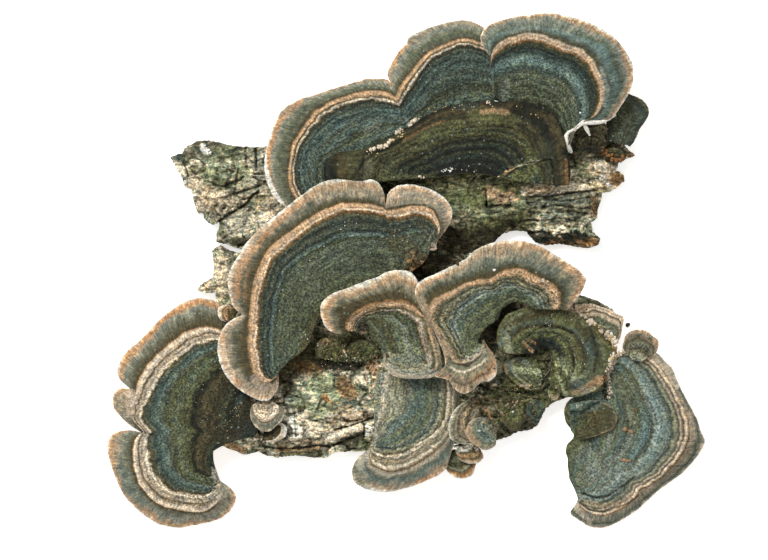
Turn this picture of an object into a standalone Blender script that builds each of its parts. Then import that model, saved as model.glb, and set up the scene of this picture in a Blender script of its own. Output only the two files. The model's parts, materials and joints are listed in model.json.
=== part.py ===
"""Turkey tail fungus growing on two loose pieces of bark, lying with the bark's back on a table.

Blender 4.5, metres, +Z up. The specimen is seen from above: +X is right and +Y is away from the viewer. Its
origin is on the table, under the middle of the specimen. Every cap is a thin leathery fan. Its rows run from
the heart, where it grows out of what carries it, over the last growth ridge, to the rim.

Outlines were read by eye off a picture looking straight down, in that picture's pixels. PIXEL turns them into
metres. Heights and thicknesses are in millimetres above the table.
"""

import bmesh
import bpy
from mathutils import Vector, geometry, noise
from mathutils.bvhtree import BVHTree

# Driving dimensions. The big centre cap is about 68 mm across, as large turkey tail caps are.
SPECIMEN_WIDTH = 0.180
PICTURE_WIDTH = 599.5
PIXEL = SPECIMEN_WIDTH / PICTURE_WIDTH
MIDDLE = (406.1, 271.16)
MM = 0.001

# The leathery flesh, thick at the heart and thin at the rim.
THICKNESS = ((2.2,), (1.6,), (0.9,))
SMALL_THICKNESS = ((1.5,), (1.2,), (0.8,))
# The air left between two separate pieces, and how far round a point it is kept.
GAP = 0.35
CLEAR_RADIUS = 0.6
# A heart this little above its carrier grows down onto it.
ROOT_REACH = 9.0
# Rings across a cap: 0 is the heart, 1 the ridge and 2 the rim. The underside stops short of the rim, so that
# the rim comes to an edge.
TOP_RINGS, UNDER_RINGS = (0.0, 0.5, 1.0, 1.5, 2.0), (0.0, 0.5, 1.0, 1.92)
SMALL_TOP_RINGS, SMALL_UNDER_RINGS = (0.0, 1.0, 2.0), (0.0, 1.0, 1.88)
# Faces that meet at more than this, in radians, keep a sharp edge.
SHARP_ANGLE = 0.9
# How finely each face of an underside is felt for what lies below it.
FEELS = 5

# The upper piece of bark.
UPPER_BARK = (
    (170, 157), (177, 154), (182, 153), (184, 148), (190, 144), (197, 141), (207, 140), (219, 142),
    (229, 145), (243, 146), (256, 147), (268, 146), (300, 139), (340, 132), (385, 125), (430, 117),
    (470, 110), (510, 107), (550, 108), (580, 113), (603, 121), (618, 132), (624, 144), (630, 150),
    (636, 155), (628, 158), (619, 162), (617, 170), (624, 174), (625, 180), (618, 186), (611, 191),
    (603, 192), (601, 201), (598, 209), (598, 217), (592, 222), (593, 232), (601, 238), (599, 244),
    (589, 248), (575, 246), (560, 243), (547, 245), (536, 242), (531, 236), (527, 231), (515, 230),
    (503, 233), (496, 240), (484, 246), (465, 250), (430, 252), (380, 252), (330, 252), (290, 252),
    (262, 250), (246, 247.5), (233, 247), (226, 243.5), (216, 242), (216, 234), (219, 227), (219, 221),
    (212, 224.5), (204, 219), (203, 213), (197, 213), (193, 200), (191, 188), (184, 186), (181, 176),
    (176, 167),
)
# The lower piece, rotten and lumpy at its right end. Its lumps are (x, y, radius, height).
LOWER_BARK = (
    (216, 246.5), (221, 245.5), (228, 250), (236, 253), (250, 255), (290, 256), (340, 256), (390, 256),
    (430, 255), (466, 253), (490, 262), (520, 275), (548, 287), (570, 292), (583, 296), (598, 301),
    (614, 310), (612, 325), (616, 340), (617, 352), (612, 366), (606, 378), (602, 388), (590, 393),
    (575, 395), (563, 399), (553, 403), (546, 409), (542, 417), (538, 425), (531, 430), (518, 432),
    (508, 437), (497, 441), (480, 442), (455, 444), (430, 447), (400, 449), (372, 451), (350, 452),
    (338, 452), (331, 454), (326, 458), (313, 458), (300, 456), (288, 456), (277, 458), (267, 456),
    (258, 452), (244, 455), (236, 452), (228, 449), (222, 446), (220, 441), (224, 425), (228, 390),
    (226, 360), (224, 335), (221, 315), (217, 309), (216, 300), (214.5, 292.5), (205, 292.5),
    (196.5, 290), (200, 285), (207, 281), (213, 277), (213.5, 268), (212.5, 257), (211.5, 251),
)
LOWER_BARK_LUMPS = ((345, 352, 22, 1.4), (425, 262, 14, 1.2), (300, 385, 16, 1.0))
# Bark is thinner at its broken edge. SHOULDER is how far in, in pixels, it reaches its full height.
BARK_EDGE, BARK_MIDDLE, BARK_SHOULDER = 4.2, 7.8, 26.0
# The noise along the bark's grain: how high it is, then how long and how wide.
COARSE_GRAIN = (1.1, 60.0, 11.0)
FINE_GRAIN = (0.5, 17.0, 9.0)
# How far apart the points of the bark's top are, in pixels.
BARK_SPACING = 17.5

# Each row below is rim x, rim y, ridge x, ridge y, heart x, heart y.
TOP_LEFT_ROWS = (
    (296, 216, 306, 205, 335, 196), (288, 210, 299, 202, 331, 190), (276, 200, 293, 194, 328, 184),
    (268, 187, 289, 184, 326, 177), (264, 170, 288, 171, 326, 168), (265, 153, 289, 156, 330, 160),
    (269, 137, 293, 141, 340, 157), (275, 121, 301, 127, 352, 155), (283, 109, 310, 115, 362, 153),
    (297, 100, 320, 106, 371, 150), (313, 95, 332, 100, 379, 147), (330, 89, 344, 96, 386, 143),
    (347, 84, 356, 93, 392, 140), (362, 79, 368, 91, 397, 137), (376, 78, 381, 92, 401, 134),
    (387, 79, 391, 95, 405, 131), (390, 82, 396, 98, 410, 128), (387, 74, 401, 88, 417, 124),
    (391, 63, 408, 78, 425, 120), (398, 52, 415, 68, 433, 116), (406, 43, 424, 57, 442, 113),
    (408, 37, 436, 49, 450, 111), (422, 30, 446, 44, 458, 109), (440, 24, 457, 40, 465, 107),
    (457, 20, 467, 39, 472, 106), (472, 21, 476, 41, 480, 105), (485, 28, 486, 46, 488, 104),
    (492, 36, 493, 52, 495, 104),
)
TOP_RIGHT_ROWS = (
    (491, 58, 490.5, 60, 493, 100), (485, 51, 492, 54, 497, 101), (480, 42, 495, 48.5, 501, 102),
    (482, 31, 500, 44, 506, 103), (492, 23, 508, 39.5, 511, 104), (507, 18.5, 518, 36.5, 517, 104),
    (525, 15, 530, 34.5, 523, 104), (545, 13, 542, 36, 529, 105), (565, 15, 553, 41.5, 535, 106),
    (583, 20, 565, 45.5, 540, 107), (599, 27, 577, 49, 545, 109), (614, 37, 587, 56, 549, 112),
    (625, 50, 594, 66, 552, 115), (632, 63, 599, 76, 555, 119), (633.5, 77, 602.5, 86, 557, 123),
    (630, 91, 603, 97, 559, 127), (622, 105, 600, 107, 561, 130), (613, 117, 595, 115, 562, 133),
    (602, 123, 589, 119, 563, 136), (590, 123, 581, 122, 564, 139), (576, 131, 572, 131, 564, 143),
    (570, 151, 568, 146, 563, 147),
)
OLD_UPPER_ROWS = (
    (328, 184, 363, 184, 440, 177), (325, 172, 361, 173, 443, 176), (328, 160, 364, 163, 446, 175.5),
    (337, 152.5, 374, 155, 449, 175), (354, 150.5, 388, 149, 452, 174.5), (372, 146, 401, 142, 455, 174),
    (390, 137.5, 414, 134, 458, 173.5), (406, 129, 427, 127, 461, 173), (421, 118.5, 440, 122, 464, 173),
    (438, 109.5, 454, 120, 467, 173), (458, 104, 469, 118, 470, 173), (480, 101.5, 485, 117, 473, 173),
    (502, 101, 501, 117, 476, 173), (523, 102, 516, 119, 479, 173.5), (541, 105.5, 528, 124, 482, 174),
    (553, 114, 537, 132, 485, 174.5), (560, 126, 543, 143, 488, 175), (565, 140, 548, 155, 491, 175.5),
    (569, 156, 552, 167, 494, 176), (571, 172, 555, 177, 497, 177), (569, 186, 553, 186, 500, 179),
)
CENTRE_ROWS = (
    (437, 249, 427, 249, 428, 257), (438, 241, 435, 240, 426, 260), (446, 231, 440, 230, 424, 262),
    (452, 220, 438, 221, 422, 264), (452.5, 210, 434, 213, 420, 266), (447, 200, 428, 208.5, 417, 268),
    (436, 191.5, 420, 206.5, 414, 270), (422, 186, 411, 206.5, 411, 272), (407, 184, 402, 209, 408, 274),
    (395, 186.5, 395, 210.5, 405, 276), (388, 193, 389, 211, 402, 278),
    (385.5, 204, 386, 210.5, 399, 279.5), (384, 192, 382, 208, 396, 281), (379, 183, 376, 207, 392, 283),
    (371, 179, 368, 205.5, 388, 285), (358, 181, 358, 205, 383, 287), (344, 179, 346, 205, 377, 289),
    (328, 180, 334, 207.5, 370, 291), (314, 186, 322, 212, 363, 294), (300, 196, 311, 218.5, 356, 297),
    (286, 207, 299, 226, 349, 300), (272, 218, 288, 234, 342, 303), (258, 230, 277, 242, 336, 306),
    (246, 243, 268, 251, 330, 309), (237, 257, 262, 262, 325, 312), (230, 270, 257, 274, 321, 316),
    (228, 284, 253, 288, 318, 320), (230, 299, 251, 302, 316, 325), (235, 309, 250, 311, 314, 329),
    (242, 314.5, 249, 317, 313, 332), (234, 318, 248.5, 322, 312, 334.5), (225, 325, 248, 330, 311, 337),
    (219, 336, 247.5, 339, 310, 340), (217, 348, 248, 349, 309, 343), (219, 361, 249.5, 358, 307, 346),
    (225, 375, 252, 368, 304, 350), (236, 387.5, 256, 376, 299, 354), (249, 396, 262, 381.5, 293, 358),
    (262, 401.5, 269, 382, 288, 362), (271, 399, 273, 379, 284, 366), (278, 388, 277, 376, 281, 369),
    (279, 377, 278.5, 373, 279.5, 371),
)
LOWER_LEFT_ROWS = (
    (232, 318, 236, 335, 250, 398), (217, 302, 222, 331, 250, 400), (207, 298.5, 211, 328, 251, 402),
    (196, 297.5, 200, 328, 251, 404), (183, 302, 189, 332, 252, 406), (170, 310, 178, 338.5, 252, 408),
    (158, 320, 168, 346, 253, 410), (148, 331, 159, 354, 253, 412), (137, 342, 151, 362, 254, 414),
    (126, 351, 145, 371, 254, 416), (119, 362, 140, 380, 255, 418), (116, 372, 137.5, 388, 255, 420),
    (120, 381, 136, 393, 256, 422), (130, 388.5, 135, 397, 256, 424), (119, 388, 133, 401, 256.5, 425),
    (112, 396, 132, 405, 257, 426), (112, 407, 131.5, 410, 257, 428), (119, 416.5, 132, 417, 257, 430),
    (129, 426, 136, 424, 257, 431), (140, 433, 143, 432, 257, 432), (130, 430.5, 139, 434.5, 257, 433),
    (116, 432, 135.5, 440, 256, 434.5), (107, 440, 134, 448, 253, 436.5),
    (106.5, 453, 133.5, 457, 248, 438), (110, 468, 134.5, 468, 242, 439), (116, 483, 138, 480, 237, 440),
    (124, 498, 144, 490, 232, 440.5), (135, 509.5, 151, 498.5, 227, 441),
    (147, 519, 160, 505, 222, 441.5), (160, 526, 170, 508, 218, 443), (177, 529, 181, 510.5, 215, 446),
    (194, 526.5, 193, 512.5, 213.5, 449), (209, 523.5, 203, 511.5, 213, 452),
    (222, 518.5, 212, 507, 213, 455), (232, 509, 219, 500, 213, 458), (236, 499, 223, 493, 213, 461),
    (232, 490, 222, 487, 213, 464), (223, 483.5, 218, 482, 213, 467), (214, 477, 213.5, 476, 212.5, 471),
)
CURL_LEFT_ROWS = (
    (341, 333.5, 346, 331.5, 359, 331), (333, 333, 341, 328, 358, 329.5),
    (325, 327, 342, 322, 358, 327.5), (321, 317, 346, 317, 359, 325.5), (320, 307, 350, 312.5, 360, 324),
    (325, 298, 356, 308.5, 361, 323), (335, 292, 363, 305, 363, 322), (348, 287.5, 371, 303, 364, 322),
    (362, 281.5, 380, 302, 365, 322.5), (376, 277, 388, 301.5, 366, 323), (388, 271, 396, 302, 367, 324),
    (400, 269.5, 404, 303, 368, 326), (411, 272, 411, 306, 369, 328), (418, 281, 417, 310.5, 369, 330),
    (424, 292, 421, 314, 370, 332), (428, 305, 425, 318, 370, 334), (431, 318, 428.5, 322, 371, 336),
    (434, 330, 431, 331, 372, 338), (439, 343, 435, 344, 373, 340), (442, 357, 438, 357, 375, 342),
    (442, 370, 438, 368, 377, 344), (434, 377, 430, 373, 379, 346), (420, 379, 418, 374.5, 380, 347),
    (406, 379, 406, 374, 381, 348), (394, 376.5, 397, 371.5, 381, 349), (386, 370, 391, 366, 381, 350),
    (383, 360, 388, 360, 381.5, 351), (383, 353, 385, 353, 382, 352),
)
CURL_RIGHT_ROWS = (
    (566, 311, 561, 310, 533, 309), (576, 300, 563, 301, 530, 307), (583, 289, 562, 293, 527, 305),
    (586, 279, 557, 286, 523, 303), (579, 270, 549, 281, 520, 302), (566, 261, 539, 277, 516, 302),
    (552, 252.5, 529, 272, 512, 302.5), (538, 245, 519, 269, 509, 304),
    (522, 240.5, 508, 269.5, 506, 306), (505, 240.5, 498, 274, 503, 308),
    (490, 243, 489, 279.5, 501, 311), (476, 249, 478, 281, 500, 314), (464, 259, 466, 284.5, 499, 317),
    (450, 266, 455, 290, 497, 320), (436, 273, 445, 296, 494, 322.5), (424, 278, 437, 301, 491, 324.5),
    (417, 284, 432, 307, 488, 326), (414.5, 292, 429.5, 313, 486, 328), (419, 305, 428, 318, 484, 330),
    (426, 319, 430, 322, 482, 332), (433, 330, 436, 331, 481, 334), (438, 342, 442, 341, 480, 336),
    (443, 354, 448, 350, 479.5, 338), (444, 366, 451, 357, 479, 340), (434, 376, 453, 361, 479, 341),
    (447, 380, 458, 363, 479, 342), (455, 390, 463, 363, 479, 342.5), (464, 394, 468, 362, 479.5, 343),
    (473, 390, 473, 360, 480, 343.3), (481, 383, 477, 357.5, 480.5, 343.5),
    (492, 380, 480, 354, 481, 343.5), (497.5, 370, 482, 350, 481.5, 343.3),
    (494, 356, 484, 346, 482, 343), (487.5, 346, 484, 343, 482, 342), (484, 339, 483, 340, 481.5, 341),
)
BOTTOM_ROWS = (
    (372, 447, 371, 447, 374, 440), (362, 454, 369.5, 453, 374, 436), (354, 463, 371, 461, 374, 432),
    (351, 473, 376, 467, 374, 428), (354, 483, 383, 470, 374, 424), (363, 489, 391, 471.5, 374, 420),
    (375, 492, 399, 470.5, 374, 416), (388, 493, 407, 468.5, 374, 413), (402, 490, 415, 464.5, 374, 410),
    (416, 486, 423, 459.5, 374, 407), (430, 480, 431, 454, 374, 404), (441, 474.5, 439, 447, 374, 401),
    (447, 468, 446, 440, 374, 398), (450, 458, 451, 431, 374, 395), (454, 445, 454, 420, 374, 391),
    (457, 428, 455, 408, 374, 387), (459, 410, 455, 396, 375, 383), (460, 392, 455, 384, 376, 378),
    (460, 376, 455, 372, 378, 371),
)
OLD_RIGHT_ROWS = (
    (499, 352, 510, 354, 533, 354), (496, 338, 510, 345, 534, 352), (499, 324, 514, 338, 536, 350),
    (508, 313, 521, 332, 538, 348.5), (522, 308, 530, 328.5, 541, 347.5),
    (538, 305.5, 540, 326.5, 543, 347), (553, 306, 550, 326.5, 546, 347.5),
    (567, 309.5, 560, 328.5, 548, 349), (580, 316, 569, 333, 549.5, 351),
    (592, 324.5, 575, 340, 550.5, 353.5), (602, 334, 579, 348, 551, 356), (611, 345, 581, 356, 551, 359),
    (614, 356, 582, 364, 551, 362), (609, 368, 581, 371, 550.5, 365), (604, 378, 578, 377, 550, 368),
    (602, 388, 574, 382, 549, 371), (590, 394, 568, 386, 547, 374), (576, 397.5, 562, 388, 545, 376),
    (565, 397, 556, 389, 543, 378),
)
RIGHT_ROWS = (
    (618, 352, 616, 356, 580, 396), (628, 346, 628, 350, 577, 397), (642, 344.5, 639, 350, 574, 398),
    (655, 350, 649, 356, 571, 399), (665, 360, 657, 364.5, 569, 401), (673, 368, 664, 373, 567, 403),
    (678, 380, 670, 382, 566, 405.5), (684, 393, 676, 393, 565, 408), (691, 406, 682, 405, 564.5, 411),
    (698, 419, 687, 418, 564.5, 414), (702, 432, 688.5, 430, 565, 417),
    (706, 441, 686.5, 442, 565.5, 420), (702, 451, 682, 453, 566.5, 423),
    (695, 461, 675, 463, 568.5, 426), (685, 472, 667, 472, 571, 429), (673, 481.5, 658, 480, 573, 432),
    (661, 490, 649, 486, 574, 435), (650, 500, 641, 488.5, 573.5, 438), (641, 508.5, 637, 496, 571, 441),
    (630, 516.5, 629, 504, 568, 444), (617, 524, 618, 510.5, 566.5, 448), (603, 529, 606, 515, 566, 453),
    (590, 527.5, 594, 514.5, 568, 459), (579, 521.5, 585, 509.5, 568, 466),
    (570.5, 514, 580.5, 505, 569, 473), (576, 505, 580.5, 500, 570, 480),
    (581, 494, 580.5, 492, 575, 487),
)

# Small caps: the heart's first and last points, then the rim. Their ridge lies at SMALL_RIDGE of the way out.
SMALL_RIDGE = 0.68
BACK_RIGHT_HEART = ((586, 347), (611, 352))
BACK_RIGHT_RIM = (
    (556, 313), (566, 307), (578, 304), (591, 303), (604, 307), (615, 312), (624, 317), (623, 327),
    (621, 338),
)
RIGHT_TOP_HEART = ((632, 360), (642, 362))
RIGHT_TOP_RIM = ((622, 348), (625, 336), (632, 330), (643, 329), (652, 334), (659, 341), (658, 351))
RIGHT_HUMP_HEART = ((569, 404), (571, 431))
RIGHT_HUMP_RIM = (
    (588, 400), (601, 401), (612, 408), (618, 418), (614, 428), (603, 434), (590, 438), (578, 440),
)
LEAF_HEART = ((606, 117), (608, 141))
LEAF_RIM = ((626, 92), (637, 96), (645, 101), (650, 110), (647, 120), (641, 128), (637, 138), (631, 147))
LEFT_BIT_HEART = ((238, 311), (235, 319))
LEFT_BIT_RIM = ((230, 305), (222, 305), (217, 310), (219, 319), (226, 323))
SMALL_LEFT_HEART = ((258, 400), (271, 400))
SMALL_LEFT_RIM = (
    (251, 406), (250, 417), (255, 427), (263, 432), (271, 431), (278, 425), (284, 418), (283, 408),
)
SMALL_LEFT_BACK_HEART = ((262, 436), (267, 426))
SMALL_LEFT_BACK_RIM = ((266, 443), (277, 442), (286, 436), (287, 427), (280, 422))
BOTTOM_LOBE_HEART = ((445, 452), (462, 448))
BOTTOM_LOBE_RIM = ((443, 466), (449, 474), (457, 479), (467, 479), (474, 474), (477, 464))
BOTTOM_CHIP_HEART = ((459, 449), (471, 444))
BOTTOM_CHIP_RIM = ((457, 455), (459, 460), (467, 464), (478, 464), (484, 458), (481, 449))
BOTTOM_SIDE_HEART = ((480, 408), (483, 434))
BOTTOM_SIDE_RIM = (
    (472, 401), (462, 403), (454, 410), (449, 420), (448, 431), (451, 440), (461, 444), (473, 445),
)
BOTTOM_FRONT_HEART = ((489, 417), (497, 430))
BOTTOM_FRONT_RIM = (
    (479, 417), (471, 420), (466, 427), (466, 435), (470, 442), (478, 448), (487, 450.5), (496, 446),
)
MOSSY_LOBE_HEART = ((340, 362), (366, 362))
MOSSY_LOBE_RIM = (
    (317, 358), (314, 346), (322, 338), (337, 338), (347, 344), (358, 339), (372, 342), (382, 353),
)
BRACKET_LEFT_HEART = ((583, 150), (602, 152))
BRACKET_LEFT_RIM = ((578, 141), (580, 131), (589, 127), (599, 130), (606, 138), (607, 146))
BRACKET_RIGHT_HEART = ((606, 162), (622, 162))
BRACKET_RIGHT_RIM = ((602, 156), (604, 150), (612, 147), (621, 149), (626, 155))
ROT_UPPER_HEART = ((536, 358), (543, 375))
ROT_UPPER_RIM = ((526, 357), (513, 357), (504, 363), (506, 375), (518, 386), (532, 391), (542, 385))
ROT_DARK_HEART = ((535, 399), (545, 403))
ROT_DARK_RIM = ((528, 402), (526, 412), (530, 421), (537, 425), (541, 418), (546, 410))
ROT_BROWN_HEART = ((504, 397), (522, 398))
ROT_BROWN_RIM = ((498, 405), (501, 419), (509, 430), (517, 431), (523, 423), (525, 409))
ROT_BUD_HEART = ((550, 385), (559, 386))
ROT_BUD_RIM = ((548, 391), (549, 398), (553, 401), (559, 398), (561, 390))

# Heights of the top face in millimetres, spread evenly from a cap's first row to its last: heart, ridge, rim.
TOP_LEFT_HEIGHTS = (
    (11.6,), (12.6, 14, 15, 15.6, 14, 15.6, 16, 15.2, 13.4),
    (11.8, 12.6, 13.2, 13.6, 12.4, 13.8, 14, 13.4, 12.2),
)
TOP_RIGHT_HEIGHTS = (
    (12.6,), (15, 17, 18, 18.2, 17.6, 16.4, 14.6), (15.2, 16, 16.4, 16, 15.2, 14.4, 12.4),
)
OLD_UPPER_HEIGHTS = ((13.2,), (14.2, 15, 15.4, 15.2, 14.4), (13.8, 14.4, 14.8, 14.6, 13.4))
CENTRE_HEIGHTS = (
    (15.2,), (16, 17.6, 17, 18.4, 18.8, 18.6, 18, 17, 17, 16.4, 15.4),
    (15, 16.4, 15.6, 16.8, 16.6, 16, 15, 14.4, 14.4, 14),
)
LOWER_LEFT_HEIGHTS = (
    (10.6,), (11.2, 10.8, 10.2, 9.6, 8.4, 8, 7.4, 7.2, 7.6), (9.8, 8.8, 7.8, 6.4, 6.2, 5, 4.4, 4.4, 5.6),
)
CURL_LEFT_HEIGHTS = (
    (15.4,), (18.2, 19.6, 20, 19.4, 18.6, 18.4, 17.4, 16.6, 15.8),
    (17.4, 19, 19.4, 19, 18.2, 18, 17, 15.8, 15.4),
)
CURL_RIGHT_HEIGHTS = (
    (15.0,), (18, 20, 20.6, 20.4, 20.6, 20.8, 19.4, 18, 17),
    (16.8, 18.4, 19, 19.2, 20, 20.2, 18.8, 16.4, 16),
)
BOTTOM_HEIGHTS = ((10.6,), (8.8, 8.6, 9, 9.8, 10.4, 10.6), (6.8, 5.4, 5.8, 7, 8.4, 9))
OLD_RIGHT_HEIGHTS = ((12.6,), (14.4, 15.2, 15.2, 14.6, 13.8), (13.4, 14.4, 14.2, 13.6, 12.8))
RIGHT_HEIGHTS = ((9.4,), (11, 11, 10.6, 10, 9.4, 8.6, 7.6), (10.6, 9.6, 8.2, 7, 6.4, 5.4, 5.2))


def place(x, y, height=0.0):
    """A pixel of the picture and a height in millimetres, as metres from the specimen's origin."""
    return Vector(((x - MIDDLE[0]) * PIXEL, (MIDDLE[1] - y) * PIXEL, height * MM))


def through(points, at):
    """The point at `at` along a smooth curve through the points. Whole numbers fall on the points."""
    last = len(points) - 1
    if last == 0:
        return points[0]
    first = min(int(at), last - 1)
    t = at - first
    four = (points[max(0, min(last, first + k))] for k in (-1, 0, 1, 2))
    return tuple(
        0.5 * (2 * b + (c - a) * t + (2 * a - 5 * b + 4 * c - d) * t**2 + (3 * b - a - 3 * c + d) * t**3)
        for a, b, c, d in zip(*four)
    )


def spread(values, share):
    """One number from a row of numbers spread evenly over 0 to 1."""
    return through([(value,) for value in values], share * (len(values) - 1))[0]


def finish(name, color, roughness):
    """A plain material in one colour."""
    material = bpy.data.materials.get(name) or bpy.data.materials.new(name)
    material.use_nodes = True
    shader = material.node_tree.nodes["Principled BSDF"]
    shader.inputs["Base Color"].default_value = (*color, 1.0)
    shader.inputs["Roughness"].default_value = roughness
    shader.inputs["Metallic"].default_value = 0.0
    return material


def add_object(name, mesh, material):
    """Puts a mesh in the scene as one named piece, with its faces turned outwards."""
    shell = bmesh.new()
    shell.from_mesh(mesh)
    bmesh.ops.recalc_face_normals(shell, faces=shell.faces)
    shell.to_mesh(mesh)
    shell.free()
    mesh.shade_smooth()
    mesh.set_sharp_from_angle(angle=SHARP_ANGLE)
    mesh.materials.append(material)
    piece = bpy.data.objects.new(name, mesh)
    bpy.context.scene.collection.objects.link(piece)
    return piece


class Pile:
    """What has been laid down so far, lowest first, so that each new cap lies clear of it."""

    def __init__(self):
        self.trees = []

    def add(self, piece):
        mesh = piece.data
        corners = [vertex.co.copy() for vertex in mesh.vertices]
        self.trees.append(BVHTree.FromPolygons(corners, [face.vertices[:] for face in mesh.polygons]))

    def top(self, x, y):
        """The height in metres of the highest thing laid down near x, y, or None over bare table."""
        reach = CLEAR_RADIUS * MM
        around = ((0, 0), (1, 0), (-1, 0), (0, 1), (0, -1), (0.7, 0.7), (-0.7, 0.7), (0.7, -0.7), (-0.7, -0.7))
        found = []
        for right, away in around:
            above = Vector((x + right * reach, y + away * reach, 0.1))
            for tree in self.trees:
                hit = tree.ray_cast(above, Vector((0, 0, -1)))[0]
                if hit is not None:
                    found.append(hit.z)
        return max(found) if found else None


def across(row, ring):
    """Where a ring crosses a row: 0 is the heart, 1 the ridge and 2 the rim."""
    rim, ridge, heart = row[0:2], row[2:4], row[4:6]
    start, end, share = (heart, ridge, ring) if ring <= 1 else (ridge, rim, ring - 1)
    return start[0] + (end[0] - start[0]) * share, start[1] + (end[1] - start[1]) * share


class Flesh:
    """How a cap is built up: its rings, its thickness, and whether its heart grows down onto its carrier."""

    def __init__(self, top_rings, under_rings, thick, rooted):
        self.top_rings, self.under_rings, self.thick, self.rooted = top_rings, under_rings, thick, rooted

    def thickness(self, ring):
        return through(self.thick, ring)[0] * MM


LARGE = Flesh(TOP_RINGS, UNDER_RINGS, THICKNESS, rooted=True)
SMALL = Flesh(SMALL_TOP_RINGS, SMALL_UNDER_RINGS, SMALL_THICKNESS, rooted=False)


def lay(rows, heights, count, rings):
    """A grid of points on a cap: one line of them for each section, one point on it for each ring."""
    grid = []
    for step in range(count):
        share = step / (count - 1)
        row = through(rows, share * (len(rows) - 1))
        levels = [(spread(values, share),) for values in heights]
        grid.append([place(*across(row, ring), through(levels, ring)[0]) for ring in rings])
    return grid


def shortfall(corners, pile):
    """How far one face must rise to clear what lies below it. Its corners go round it in order."""
    near, near_out, far_out, far = corners
    short = 0.0
    for across_step in range(FEELS):
        for along_step in range(FEELS):
            outward, along = across_step / (FEELS - 1), along_step / (FEELS - 1)
            point = near.lerp(near_out, outward).lerp(far.lerp(far_out, outward), along)
            below = pile.top(point.x, point.y)
            if below is not None:
                short = max(short, below + GAP * MM - point.z)
    return short


def lift_clear(under, flesh, pile):
    """Raises an underside off what lies below: face by face on a large cap, and all of it on a small one."""
    if flesh.rooted:
        for line in under:
            below = pile.top(line[0].x, line[0].y)
            if below is not None and line[0].z - below < ROOT_REACH * MM:
                line[0].z = below + GAP * MM
    faces = []
    for near, far in zip(under, under[1:]):
        faces += [(near[k], near[k + 1], far[k + 1], far[k]) for k in range(len(near) - 1)]
    if flesh.rooted:
        for corners in faces:
            short = shortfall(corners, pile)
            for point in corners:
                point.z += short
    else:
        short = max(shortfall(corners, pile) for corners in faces)
        for line in under:
            for point in line:
                point.z += short


def rest_on(top, under, flesh):
    """Raises the top face wherever the raised underside leaves the flesh too thin."""
    for over, below in zip(top, under):
        for point, ring in zip(over, flesh.top_rings):
            known = flesh.under_rings
            after = next((k for k in range(1, len(known)) if known[k] >= ring), len(known) - 1)
            share = min(1.0, (ring - known[after - 1]) / (known[after] - known[after - 1]))
            floor = below[after - 1].z + (below[after].z - below[after - 1].z) * share
            point.z = max(point.z, floor + flesh.thickness(ring))


def add_cap(name, rows, heights, count, material, pile, flesh=LARGE):
    """A cap: `count` sections along its rows, skinned into one closed solid."""
    under = lay(rows, heights, count, flesh.under_rings)
    for line in under:
        for point, ring in zip(line, flesh.under_rings):
            point.z -= flesh.thickness(ring)
    lift_clear(under, flesh, pile)
    top = lay(rows, heights, count, flesh.top_rings)
    rest_on(top, under, flesh)
    points = [point for over, below in zip(top, under) for point in over + below[::-1]]
    size = len(flesh.top_rings) + len(flesh.under_rings)
    faces = [tuple(range(size)), tuple(range((count - 1) * size, count * size))]
    for step in range(count - 1):
        for side in range(size):
            near, far = step * size, (step + 1) * size
            after = (side + 1) % size
            faces.append((near + side, near + after, far + after, far + side))
    mesh = bpy.data.meshes.new(name)
    mesh.from_pydata(points, [], faces)
    piece = add_object(name, mesh, material)
    pile.add(piece)
    return piece


def fan_rows(heart, rim):
    """Rows for a small cap, from a short straight heart to its rim."""
    rows = []
    for index, (x, y) in enumerate(rim):
        share = index / (len(rim) - 1)
        root = [heart[0][axis] + (heart[1][axis] - heart[0][axis]) * share for axis in (0, 1)]
        ridge = [root[0] + (x - root[0]) * SMALL_RIDGE, root[1] + (y - root[1]) * SMALL_RIDGE]
        rows.append((x, y, *ridge, *root))
    return rows


def add_small_cap(name, heart, rim, heights, material, pile):
    levels = [(height,) for height in heights]
    return add_cap(name, fan_rows(heart, rim), levels, 2 * len(rim) - 1, material, pile, flesh=SMALL)


def edge_distance(x, y, outline):
    """How far a point is from an outline, in pixels."""
    nearest = []
    for start, end in zip(outline, outline[1:] + outline[:1]):
        foot, share = geometry.intersect_point_line(Vector((x, y)), Vector(start), Vector(end))
        foot = Vector(start) if share < 0 else Vector(end) if share > 1 else foot
        nearest.append((Vector((x, y)) - foot.to_2d()).length)
    return min(nearest)


def bark_height(x, y, outline, lumps):
    """The bark's top in millimetres: it rises from its broken edge, with long ridges along the grain."""
    rise = min(1.0, edge_distance(x, y, outline) / BARK_SHOULDER)
    height = BARK_EDGE + (BARK_MIDDLE - BARK_EDGE) * rise * (2 - rise)
    for lift, long, wide in (COARSE_GRAIN, FINE_GRAIN):
        height += lift * noise.noise(Vector((x / long, y / wide, long)))
    for lump_x, lump_y, radius, lift in lumps:
        near = 1 - ((x - lump_x) ** 2 + (y - lump_y) ** 2) / radius**2
        height += lift * max(0.0, near) ** 1.5
    return height


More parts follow.
